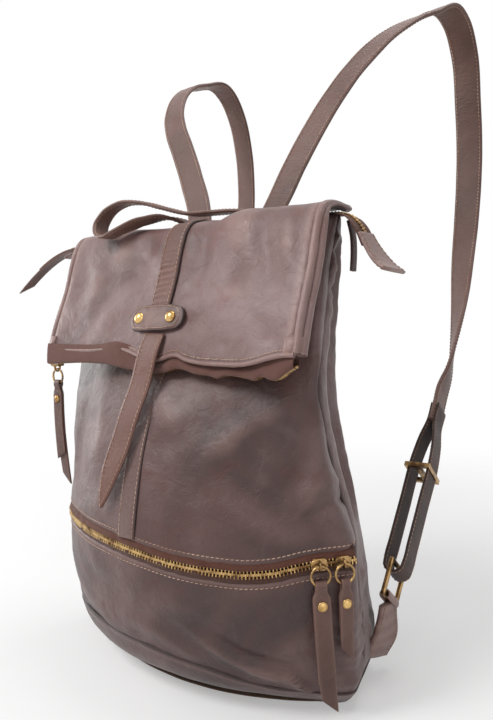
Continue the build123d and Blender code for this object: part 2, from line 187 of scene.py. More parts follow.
def lineAt(points, normals, distance, side):  # a line on the grid, that far from one edge
    runs = edgeRuns(points)[side]
    rows, cols = points.shape[:2]
    picked, out = [], []
    for k in range(cols if side in ("low", "high") else rows):
        run = runs[:, k] if side in ("low", "high") else runs[k]
        p = points[:, k] if side in ("low", "high") else points[k]
        n = normals[:, k] if side in ("low", "high") else normals[k]
        if run[0] > run[-1]:
            run, p, n = run[::-1], p[::-1], n[::-1]
        picked.append([np.interp(distance, run, p[:, i]) for i in range(3)])
        out.append([np.interp(distance, run, n[:, i]) for i in range(3)])
    return np.array(picked), unit(np.array(out))


def resample(points, normals, pitch, phase=0.5):
    run = along(points)
    count = max(1, int(run[-1] / pitch))
    wanted = (np.arange(count) + phase) * run[-1] / count
    p = np.stack([np.interp(wanted, run, points[:, i]) for i in range(3)], -1)
    n = unit(np.stack([np.interp(wanted, run, normals[:, i]) for i in range(3)], -1))
    t = unit(np.stack([np.interp(wanted + 1, run, points[:, i]) for i in range(3)], -1)
             - np.stack([np.interp(wanted - 1, run, points[:, i]) for i in range(3)], -1))
    return p, n, t


thread = {"pitch": 4.0, "length": 3.1, "width": 0.95, "height": 0.62, "slant": 0.10}
sewn = {}                                    # body -> stitch pieces waiting to be joined


def stitch(group, points, normals, pitch=None, size=1.0):
    p, n, t = resample(points, normals, pitch or thread["pitch"])
    side = np.cross(n, t)
    turned = unit(t + side * thread["slant"])
    side = np.cross(n, turned)
    rings = [(-0.5, 0.3, -0.35), (-0.36, 0.9, 0.12), (0.36, 0.9, 0.12), (0.5, 0.3, -0.35)]
    store = sewn.setdefault(group, [[], [], 0])
    for k in range(len(p)):
        for reach, girth, lift in rings:
            middle = p[k] + turned[k] * reach * thread["length"] * size + n[k] * (lift + 0.05) * size
            for j in range(6):
                a = j * math.pi / 3
                store[0].append(middle + side[k] * math.cos(a) * girth * thread["width"] / 2 * size
                                + n[k] * math.sin(a) * girth * thread["height"] / 2 * size)
        base = store[2]
        for r in range(3):
            for j in range(6):
                q, low = (j + 1) % 6, base + r * 6
                store[1].append([low + j, low + q, low + 6 + q, low + 6 + j])
        store[1] += [[base + j for j in range(5, -1, -1)], [base + 18 + j for j in range(6)]]
        store[2] += 24


def finishStitches(finish):
    for group, (points, faces, _) in sewn.items():
        name, body = group.split(":")
        makeObject(name, points, faces, finish, body)


def frameAlong(route, sides, step):
    # centre line, direction, side and normal of a strap through the points of a route
    route = np.array(route, float)
    run = along(route)
    place = through(list(zip(run, route)))
    sides = np.array(sides, float)
    if sides.ndim == 1:
        sides = np.repeat(sides[None], len(route), 0)
    sideAt = through(list(zip(run, sides)))
    at = np.linspace(0, run[-1], max(3, int(run[-1] / step)))
    centre = place(at)
    direction = unit(np.gradient(centre, axis=0))
    side = sideAt(at)
    side = unit(side - direction * np.sum(side * direction, axis=1, keepdims=True))
    return at, centre, direction, side, np.cross(direction, side)


def makeStrap(name, route, sides, width, thick, finish, body, step=2.5, widths=None, lift=None,
              stitchIn=None, marks=None, crown=0.25, **rest):
    # a flat strap with rounded edges; widths and lift are functions of the distance along it
    at, centre, direction, side, out = frameAlong(route, sides, step)
    half = np.full(len(at), width / 2) if widths is None else widths(at) / 2
    if lift is not None:
        centre = centre + out * lift(at, centre)[:, None]
    across = [-1, -0.965, -0.86, -0.55, -0.2, 0.2, 0.55, 0.86, 0.965, 1]
    top = [0, 0.33, 0.47, 0.5, 0.5 + crown * 0.1, 0.5 + crown * 0.1, 0.5, 0.47, 0.33, 0]
    section = list(zip(across, top)) + [(a, -h) for a, h in list(zip(across, top))[-2:0:-1]]
    points, uv, edge = [], [], []
    around = len(section)
    for i in range(len(at)):
        for a, h in section:
            points.append(centre[i] + side[i] * a * half[i] + out[i] * h * thick)
            uv.append((a * half[i] + 100, at[i]))
            edge.append(half[i] * (1 - abs(a)))
    faces = []
    for i in range(len(at) - 1):
        for j in range(around):
            q = (j + 1) % around
            faces.append([i * around + j, i * around + q, (i + 1) * around + q, (i + 1) * around + j])
    for i, flip in ((0, False), (len(at) - 1, True)):   # rounded ends
        ring = list(range(i * around, (i + 1) * around))
        hub = len(points)
        end = centre[i] + direction[i] * thick * 0.2 * (1 if flip else -1)
        points.append(end)
        uv.append((100, at[i]))
        edge.append(0.0)
        for j in range(around):
            q = (j + 1) % around
            faces.append([ring[q], ring[j], hub] if not flip else [ring[j], ring[q], hub])
    faces = [f[::-1] for f in faces]
    allMarks = {"edge": np.array(edge)}
    for mark, values in (marks or {}).items():
        v = values(at, centre)
        allMarks[mark] = np.concatenate([np.repeat(v, around), v[[0, -1]]])
    made = makeObject(name, points, faces, finish, body, uv=uv, marks=allMarks, **rest)
    if stitchIn:
        group, inset = stitchIn
        for s in (-1, 1):
            for face in (1, -1):
                line = centre + side * s * (half - inset)[:, None] + out * face * thick * 0.5
                stitch(group, line, out * face)
    return made


def stackFaces(rings, count):                # faces of stacked rings of points, closed at both ends
    faces = [[i * count + k, i * count + (k + 1) % count, (i + 1) * count + (k + 1) % count,
              (i + 1) * count + k] for i in range(rings - 1) for k in range(count)]
    return faces + [list(range(count))[::-1], [(rings - 1) * count + k for k in range(count)]]


def lathe(profile, origin, axis, count=24):  # profile: (radius, height) pairs along axis
    axis = unit(axis)
    first = unit(np.cross(axis, [0.3, 0.9, 0.2]))
    second = np.cross(axis, first)
    points = [origin + axis * h + (first * math.cos(2 * math.pi * k / count)
                                   + second * math.sin(2 * math.pi * k / count)) * r
              for r, h in profile for k in range(count)]
    return points, stackFaces(len(profile), count)


def joined(parts):
    points, faces = [], []
    for p, f in parts:
        base = len(points)
        points += [list(x) for x in p]
        faces += [[base + i for i in face] for face in f]
    return points, faces


def extruded(outline, low, high, chamfer):
    # an outline of (x, z) pairs, given thickness in y, with a small chamfer on both rims
    outline = np.array(outline, float)
    middle = outline.mean(0)
    away = np.maximum(np.linalg.norm(outline - middle, axis=1), 1e-6)
    inner = middle + (outline - middle) * (1 - chamfer / away)[:, None]
    rings = [(inner, low), (outline, low + chamfer), (outline, high - chamfer), (inner, high)]
    points = [vec(x, y, z) for ring, y in rings for x, z in ring]
    return points, stackFaces(len(rings), len(outline))


class Sig:                                   # a node socket that takes plain arithmetic
    def __init__(self, tree, socket):
        self.tree, self.socket = tree, socket

    def math(self, operation, first, second):
        node = self.tree.nodes.new("ShaderNodeMath")
        node.operation = operation
        for place, value in zip(node.inputs, (first, second)):
            if isinstance(value, Sig):
                self.tree.links.new(value.socket, place)
            else:
                place.default_value = value
        return Sig(self.tree, node.outputs[0])

    def __add__(self, other):
        return self.math("ADD", self, other)

    def __radd__(self, other):
        return self.math("ADD", other, self)

    def __sub__(self, other):
        return self.math("SUBTRACT", self, other)

    def __rsub__(self, other):
        return self.math("SUBTRACT", other, self)

    def __mul__(self, other):
        return self.math("MULTIPLY", self, other)

    def __rmul__(self, other):
        return self.math("MULTIPLY", other, self)


class Finish:
    def __init__(self, name):
        self.material = bpy.data.materials.new(name)
        self.material.use_nodes = True
        self.tree = self.material.node_tree
        self.shader = self.tree.nodes["Principled BSDF"]

    def feed(self, place, value):
        if isinstance(value, Sig):
            self.tree.links.new(value.socket, place)
        else:
            place.default_value = value

    def node(self, kind, settings=None, inputs=None, out=0):
        made = self.tree.nodes.new("ShaderNode" + kind)
        for key, value in (settings or {}).items():
            if key == "stops":
                ramp = made.color_ramp
                for spare in range(len(value) - len(ramp.elements)):
                    ramp.elements.new(0.5 + spare * 0.01)
                for element, (place, colour) in zip(ramp.elements, value):
                    element.position, element.color = place, colour
            else:
                setattr(made, key, value)
        for key, value in (inputs or {}).items():
            self.feed(made.inputs[key], value)
        return Sig(self.tree, made.outputs[out])

    def blend(self, share, first, second, how="MIX"):
        return self.node("Mix", {"data_type": "RGBA", "blend_type": how},
                         {0: share, 6: first, 7: second}, out=2)

    def place(self):
        return self.node("TexCoord", out="Object")

    def mark(self, name):
        return self.node("Attribute", {"attribute_name": name}, out="Fac")

    def grain(self, where, scale, detail=3.0, rough=0.55, warp=0.0):
        return self.node("TexNoise", None, {"Vector": where, "Scale": scale, "Detail": detail,
                                            "Roughness": rough, "Distortion": warp})

    def step(self, value, low, high):
        return self.node("MapRange", {"interpolation_type": "SMOOTHSTEP"},
                         {0: value, 1: low, 2: high, 3: 0.0, 4: 1.0})

    def bump(self, height, distance, strength=1.0, normal=None):
        values = {"Height": height, "Distance": distance, "Strength": strength}
        if normal is not None:
            values["Normal"] = normal
        return self.node("Bump", None, values)

    def done(self, **values):
        for key, value in values.items():
            self.feed(self.shader.inputs[key.replace("_", " ")], value)
        return self.material


def rgb(red, green, blue):                   # screen colour 0 to 255 into Blender's linear colour
    return tuple((c / 255 / 12.92 if c <= 10 else ((c / 255 + 0.055) / 1.055) ** 2.4)
                 for c in (red, green, blue)) + (1.0,)


leatherTones = {
    # main, light cloud, dark cloud, red cloud, worn edge that also serves as painted highlight, gloss
    "body": [(90, 64, 60), (112, 90, 88), (56, 41, 40), (86, 46, 41), (134, 106, 100), 0.44],
    "flap": [(106, 77, 73), (136, 112, 111), (72, 53, 53), (108, 64, 58), (164, 132, 124), 0.41],
    "strap": [(92, 62, 54), (112, 84, 77), (60, 42, 38), (96, 56, 46), (132, 100, 88), 0.48],
    "closure": [(96, 60, 50), (114, 80, 70), (70, 45, 39), (108, 62, 48), (138, 100, 86), 0.48],
    "inner": [(74, 52, 50), (92, 70, 68), (52, 38, 37), (76, 46, 42), (100, 76, 70), 0.60],
    "tab": [(118, 88, 82), (146, 118, 112), (76, 55, 52), (112, 72, 64), (168, 138, 128), 0.42],
}


def makeLeather(name, seed=0.0, clouds=1.0, across=0.0):
    # washed leather: broad pale and dark clouds, fine wrinkles, pores, rubbed high places also painted as
    # highlight, painted shade in grooves
    main, light, dark, red, worn_and_highlight_tone, gloss = leatherTones[name]
    f = Finish("leather_" + name)
    at = f.place()
    moved = f.node("VectorMath", {"operation": "ADD"}, {0: at, 1: (seed, seed * 0.7, seed * 0.3)})
    broad = f.grain(moved, 11.0, 2.5, 0.5, 0.6)
    middle = f.grain(moved, 34.0, 4.0, 0.6, 0.8)
    fine = f.grain(moved, 150.0, 3.0, 0.6)
    colour = f.blend(f.step(broad, 0.42, 0.70) * (0.85 * clouds), rgb(*main), rgb(*light))
    colour = f.blend(f.step(1 - broad, 0.46, 0.72) * (0.80 * clouds), colour, rgb(*dark))
    colour = f.blend(f.step(middle, 0.52, 0.74) * (0.55 * clouds), colour, rgb(*red))
    colour = f.blend(f.step(1 - middle, 0.55, 0.80) * 0.35, colour, rgb(*light))
    colour = f.blend(f.step(fine, 0.52, 0.80) * 0.30, colour, rgb(*dark))
    wear, shade = f.mark("wear"), f.mark("shade")
    # worn colour on crests and edges: rubbing wear together with painted highlight
    colour = f.blend(wear * (0.55 + 0.45 * fine), colour, rgb(*worn_and_highlight_tone))
    colour = f.blend(shade, colour, rgb(22, 14, 13))
    cells = f.node("TexVoronoi", {"feature": "DISTANCE_TO_EDGE"}, {"Vector": moved, "Scale": 620.0})
    pebble = f.step(cells, 0.0, 0.22)
    crease = f.grain(moved, 75.0, 5.0, 0.62, 1.2)
    ridge = f.step(crease, 0.35, 0.65)
    first = f.bump(ridge, 0.00045, 0.75)
    second = f.bump(pebble * 0.6 + fine * 0.8, 0.00016, 0.8, first)
    if across:                               # close wrinkles across a strap
        lie = f.node("UVMap", {"uv_map": "lay"})
        squeezed = f.node("Mapping", None, {"Vector": lie, "Scale": (60.0, 330.0, 1.0)})
        wrinkle = f.grain(squeezed, 1.0, 2.0, 0.5, 0.8)
        second = f.bump(wrinkle * f.mark("wrinkle"), 0.0011 * across, 1.0, second)
    rough = gloss + 0.16 * (middle - 0.5) + 0.10 * (fine - 0.5) - 0.08 * wear + 0.2 * shade
    return f.done(Base_Color=colour, Roughness=rough, Normal=second, Specular_IOR_Level=0.42,
                  Sheen_Weight=0.05, Sheen_Roughness=0.45, Coat_Weight=0.06, Coat_Roughness=0.38)


def makeSuede():
    f = Finish("suede_cut_edge")
    at = f.place()
    lie = f.node("UVMap", {"uv_map": "lay"})
    pull = f.node("Mapping", None, {"Vector": lie, "Scale": (900.0, 90.0, 1.0)})
    fuzz, cloud = f.grain(pull, 1.0, 4.0, 0.65), f.grain(at, 60.0, 3.0)
    colour = f.blend(f.step(cloud, 0.4, 0.65), rgb(44, 33, 32), rgb(70, 52, 47))
    colour = f.blend(f.step(fuzz, 0.5, 0.75) * 0.5, colour, rgb(88, 66, 58))
    colour = f.blend(f.mark("wear") * 0.8, colour, rgb(128, 96, 80))
    return f.done(Base_Color=colour, Roughness=0.82 + 0.12 * (fuzz - 0.5), Normal=f.bump(fuzz, 0.0005, 0.8),
                  Sheen_Weight=0.25, Sheen_Roughness=0.5, Specular_IOR_Level=0.25)


def makeCloth(name, thread, gap, scale, rough=0.85):
    # plain weave: two sets of waves that cross, with slubs
    f = Finish(name)
    at = f.node("UVMap", {"uv_map": "lay"}) if name.startswith("tape") else f.place()
    lines = [f.node("TexWave", {"wave_type": "BANDS", "bands_direction": d, "wave_profile": "SIN"},
                    {"Vector": at, "Scale": scale, "Distortion": 0.4, "Detail": 1.0, "Detail Scale": 2.0})
             for d in ("X", "Y")]
    weave = lines[0] * lines[1]
    slub = f.grain(f.place(), 90.0, 4.0, 0.6)
    colour = f.blend(f.step(weave, 0.1, 0.7), rgb(*gap), rgb(*thread))
    colour = f.blend(f.step(slub, 0.5, 0.75) * 0.5, colour, rgb(*gap))
    colour = f.blend(f.mark("shade"), colour, rgb(16, 11, 10))
    return f.done(Base_Color=colour, Roughness=rough + 0.1 * (slub - 0.5),
                  Normal=f.bump(weave + slub, 0.0003, 0.9),
                  Sheen_Weight=0.15, Specular_IOR_Level=0.3)


def makeBrass(name, bright, dark, rough, scale=1.0):
    f = Finish(name)
    at = f.place()
    cloud, spot = f.grain(at, 120.0 * scale, 4.0, 0.6), f.grain(at, 700.0 * scale, 3.0, 0.6)
    colour = f.blend(f.step(cloud, 0.42, 0.66), rgb(*bright), rgb(*dark))
    colour = f.blend(f.step(spot, 0.55, 0.75) * 0.5, colour, rgb(*dark))
    return f.done(Base_Color=colour, Metallic=0.95,
                  Roughness=rough + 0.28 * (spot - 0.5) + 0.2 * (cloud - 0.5),
                  Normal=f.bump(spot + cloud * 0.7, 0.00012, 0.6))


def makeThread():
    f = Finish("thread_tan")
    at = f.place()
    twist = f.grain(at, 900.0, 2.0)
    colour = f.blend(f.step(f.grain(at, 40.0), 0.4, 0.65), rgb(188, 156, 136), rgb(150, 112, 90))
    colour = f.blend(f.step(twist, 0.5, 0.7) * 0.5, colour, rgb(116, 84, 66))
    return f.done(Base_Color=colour, Roughness=0.6 + 0.2 * (twist - 0.5), Normal=f.bump(twist, 0.0002, 0.7),
                  Sheen_Weight=0.2)


bodyLeather = makeLeather("body", 0.31, 1.0)
flapLeather = makeLeather("flap", 0.87, 1.0)
strapLeather = makeLeather("strap", 1.7, 0.7, 1.0)
closureLeather = makeLeather("closure", 2.3, 0.6, 0.8)
innerLeather = makeLeather("inner", 3.1, 0.7)
tabLeather = makeLeather("tab", 4.2, 0.8)
suede = makeSuede()
liningCloth = makeCloth("cloth_lining", (148, 122, 100), (96, 76, 62), 420.0)
tapeCloth = makeCloth("tape_woven", (126, 80, 62), (84, 50, 40), 380.0)
brassTeeth = makeBrass("brass_teeth", (206, 172, 118), (120, 88, 56), 0.34)
brassWorn = makeBrass("brass_worn", (182, 148, 100), (98, 72, 48), 0.30, 0.7)
brassDome = makeBrass("brass_dome", (222, 184, 120), (150, 110, 62), 0.24, 0.5)
threadTan = makeThread()
steel = makeBrass("steel_magnet", (150, 150, 148), (96, 96, 96), 0.35)
print("finishes made")


sack = {
    # height, half width, front corner y, front y, back half width, back y
    "levels": [(0, 150, -23, -60, 137, 42.5), (3, 152, -24, -64, 138, 43), (18, 163, -33, -90, 143, 45),
               (45, 168, -37, -106, 144, 45), (80, 169, -38, -115, 141, 45),
               (123, 169.4, -37.4, -120, 135, 45),
               (139, 169.4, -37.4, -120, 132, 45), (180, 157, -44, -113, 124, 45),
               (225, 151, -47, -100, 116, 45), (260, 148, -47, -84, 112, 45), (292, 147, -42, -62, 113, 45),
               (328, 147, -36, -50, 119, 42), (365, 147, -27, -37, 130, 30), (404, 148, -12, -14, 144, 12)],
    "corner": 6.5,                           # how far round the corners spread
    "seam": [(139, -20), (153, -18), (162, -14), (189, -20), (212, -27), (240, -35), (263, -42), (281, -36),
             (295, -27), (330, -16), (365, -8), (404, 0)],      # height, y of the front panel's side seam
    "pocketSeam": [(18, -12), (25, -12), (33, -8), (68, -10), (105, -19), (123, -22)],
    "baseTop": [(-1.3, 20), (-1.0, 34), (-0.6, 48), (-0.15, 50), (0.25, 42), (0.6, 28), (1.0, 19), (1.3, 16)],
    "zipWave": [(-52, 0), (-44, 3), (-36, 7), (-28, 9), (-16, 8), (-5, 6), (3, 3), (13, -2), (22, -5),
                (29, -6.5), (35, -5), (40, -1.5), (44, 0), (52, 0)],   # angle, rise of the pocket zip
}
sackTop = 404.0
levelAt = through([(r[0], r[1:]) for r in sack["levels"]])
seamAt, pocketSeamAt = through(sack["seam"]), through(sack["pocketSeam"])
zipWave = through(sack["zipWave"])
zipPath = {"radius": 215.0, "y": 95.0, "z": 131.0, "gap": 8.0}


def outline(z):                              # rounded outline of the sack at a height, with its stations
    w, cornerY, frontY, backW, backY = levelAt(z)
    drop = max(cornerY - frontY, 0.5)
    radius = (w * w + drop * drop) / (2 * drop)
    a = math.asin(min(w / radius, 1))
    t = np.linspace(-1, 1, 121)[:-1]
    front = np.stack([radius * np.sin(t * a), frontY + radius - radius * np.cos(t * a)], -1)
    corners = [(w, cornerY), (backW, backY), (-backW, backY), (-w, cornerY)]
    loop, station = [front], [t]
    for k, (start, count, reach) in enumerate(zip(corners[:3], (60, 120, 60), (1, 2, 1))):
        s = np.linspace(0, 1, count + 1)[:-1, None]
        loop.append(np.array(start) * (1 - s) + np.array(corners[k + 1]) * s)
        station.append((1, 2, 4)[k] + s[:, 0] * reach)
    loop, station = np.concatenate(loop), np.concatenate(station)
    ring = np.concatenate([loop, loop[:1]])
    run = np.concatenate([[0], np.cumsum(np.linalg.norm(np.diff(ring, axis=0), axis=1))])
    even = np.linspace(0, run[-1], 481)[:-1]
    xy = np.stack([np.interp(even, run, ring[:, i]) for i in (0, 1)], -1)
    stations = np.interp(even, run, np.concatenate([station, [5.0]]))
    pitch = run[-1] / 480
    reach = np.arange(-24, 25)
    kernel = np.exp(-0.5 * (reach * pitch / sack["corner"]) ** 2)
    kernel /= kernel.sum()
    soft = sum(k * np.roll(xy, -r, axis=0) for k, r in zip(kernel, reach))
    return stations, soft


def wallRow(z, stations):                    # points of the wall at one height
    place, soft = outline(z)
    order = np.argsort(place)
    x = np.mod(np.asarray(stations, float) + 1, 6) - 1
    place3 = np.concatenate([place[order] - 6, place[order], place[order] + 6])
    ring = np.tile(soft[order], (3, 1))
    return np.stack([np.interp(x, place3, ring[:, 0]), np.interp(x, place3, ring[:, 1]),
                     np.full(len(x), float(z))], -1)


def sideStation(y, z):                       # station on the right side wall at a depth y
    _, cornerY, _, _, backY = levelAt(z)
    return 1 + (y - cornerY) / (backY - cornerY)


def zipRise(x, y):                           # rise of the pocket zip at a place on the front
    return zipWave(np.degrees(np.arctan2(x, zipPath["y"] - y)))


def wallGrid(lowZ, highZ, left, right, columns, rows):
    # lowZ, highZ: functions of station; left, right: stations as functions of height
    points = np.zeros((rows, columns, 3))
    share = np.linspace(0, 1, columns)
    for i, v in enumerate(np.linspace(0, 1, rows)):
        s = left(v) + (right(v) - left(v)) * share
        z = lowZ(s) * (1 - v) + highZ(s) * v
        low, high = z.min(), z.max()
        ladder = np.linspace(low, high, max(2, int((high - low) / 2) + 2))
        rings = np.array([wallRow(h, s) for h in ladder])
        place = (z - low) / max(high - low, 1e-6) * (len(ladder) - 1)
        k = np.clip(place.astype(int), 0, len(ladder) - 2)
        t = (place - k)[:, None]
        c = np.arange(columns)
        points[i] = rings[k, c] * (1 - t) + rings[k + 1, c] * t
        points[i, :, 2] = z
    return points


def flatAt(height):                          # the same height at every station
    return lambda s: np.full(len(s), float(height))


frontFolds = {
    # (x, z) places on the front, width, height: soft folds of the upper front
    "strokes": [
        ([(-68, 290), (-66, 250), (-56, 218), (-60, 180)], 13, 2.4),
        ([(-100, 280), (-104, 230), (-96, 170)], 12, -2.2),
        ([(-30, 285), (-24, 240), (-30, 190)], 12, -1.6),
        ([(2, 275), (18, 251), (42, 233), (60, 215)], 13, 2.6),
        ([(18, 200), (22, 219), (43, 228), (58, 240)], 10, -2.2),
        ([(60, 195), (72, 217), (97, 233), (117, 246), (135, 265)], 13, 3.0),
        ([(112, 240), (107, 223), (107, 196), (100, 175)], 10, -2.6),
        ([(146, 225), (136, 195), (121, 181), (115, 160)], 9, -3.0),
        ([(148, 200), (140, 176), (131, 158)], 6, 1.8),
        ([(160, 182), (150, 171), (138, 168)], 3.5, -1.8),
        ([(156, 196), (148, 188), (140, 186)], 3.5, 1.1),
        ([(60, 180), (80, 160), (110, 150)], 12, 1.8),
        ([(-140, 262), (-128, 240), (-132, 200)], 11, 1.8),
        ([(-150, 215), (-140, 180), (-118, 160)], 9, -2.0),
        ([(-70, 160), (-40, 152), (-14, 158)], 9, 1.2),
    ],
}
pocketFolds = {
    "strokes": [
        ([(40, 84), (55, 74), (80, 56), (101, 44), (122, 37), (137, 22)], 5.5, 3.6),
        ([(70, 72), (92, 56), (112, 50), (134, 44)], 7, -3.4),
        ([(96, 52), (110, 47), (126, 44)], 2.4, 1.3),
        ([(118, 46), (126, 38), (136, 22)], 2.4, 1.9),
        ([(-150, 110), (-120, 86), (-80, 68), (-40, 62)], 14, 2.4),
        ([(-130, 70), (-95, 56), (-50, 54)], 9, -2.0),
        ([(-90, 112), (-50, 96), (0, 88)], 11, -1.8),
        ([(-20, 70), (20, 66), (60, 48)], 8, 1.8),
        ([(10, 104), (50, 92), (90, 88)], 12, 1.8),
        ([(152, 88), (162, 84), (170, 80)], 3.5, 1.7),
        ([(150, 72), (160, 66), (170, 66)], 3.2, -1.6),
        ([(148, 58), (160, 54), (170, 52)], 3.2, 1.7),
        ([(148, 44), (158, 40), (170, 38)], 3.2, -1.5),
        ([(146, 32), (158, 29), (168, 28)], 3.0, 1.3),
    ],
}


backFolds = {
    "strokes": [
        ([(-90, 330), (0, 318), (90, 330)], 18, -2.4),
        ([(-100, 240), (-20, 215), (70, 240)], 20, 2.2),
        ([(-80, 150), (10, 130), (96, 160)], 18, -2.0),
        ([(-60, 80), (20, 68), (90, 84)], 16, 2.0),
        ([(96, 300), (84, 240), (98, 180)], 12, -2.2),
        ([(-96, 290), (-84, 230), (-98, 170)], 12, -2.2),
    ],
}
sideFolds = {
    # (y, z) places on a side wall, width, height
    "strokes": [
        ([(-14, 384), (4, 388), (20, 384)], 3.2, 2.0), ([(-16, 372), (2, 376), (24, 370)], 3.4, -2.2),
        ([(-18, 360), (4, 362), (26, 356)], 3.4, 2.0), ([(-20, 345), (6, 344), (30, 338)], 4, -2.4),
        ([(-18, 328), (4, 324), (30, 318)], 5, 1.8), ([(-10, 110), (10, 100), (34, 104)], 6, 2.4),
        ([(-6, 86), (14, 80), (36, 84)], 6, -2.0), ([(-4, 60), (10, 54), (18, 40)], 5, 2.0),
        ([(0, 150), (16, 140), (36, 146)], 6, 2.2), ([(22, 66), (34, 52), (38, 36)], 4, 1.6),
    ],
}


def seamRoll(points, normals, sides, depth=1.6, width=2.0, shadeTo=0.85):
    # turn the leather in at sewn edges, and darken the groove with painted shade
    runs = edgeRuns(points)
    nearest = np.full(points.shape[:2], 1e9)
    for side in sides:
        nearest = np.minimum(nearest, runs[side])
    moved = points - normals * (depth * np.exp(-(nearest / width) ** 2))[..., None]
    return moved, shadeTo * np.exp(-(nearest / (width * 0.75)) ** 2)


def softWall(points, strokes, seed, keep):
    # push the wall in and out along its own normal: folds, then soft unevenness
    normals = gridNormals(points)
    x, z = points[..., 0], points[..., 2]
    height = foldHeight(x, z, strokes) + 1.3 * wander(points, 38, seed) + 0.35 * wander(points, 11, seed + 3)
    height = height * keep
    return points + normals * height[..., None], height


def zipClear(points):                        # calm close to the pocket zip
    z = points[..., 2] - zipPath["z"] - zipRise(points[..., 0], points[..., 1])
    return ease(np.abs(z), 7, 26)


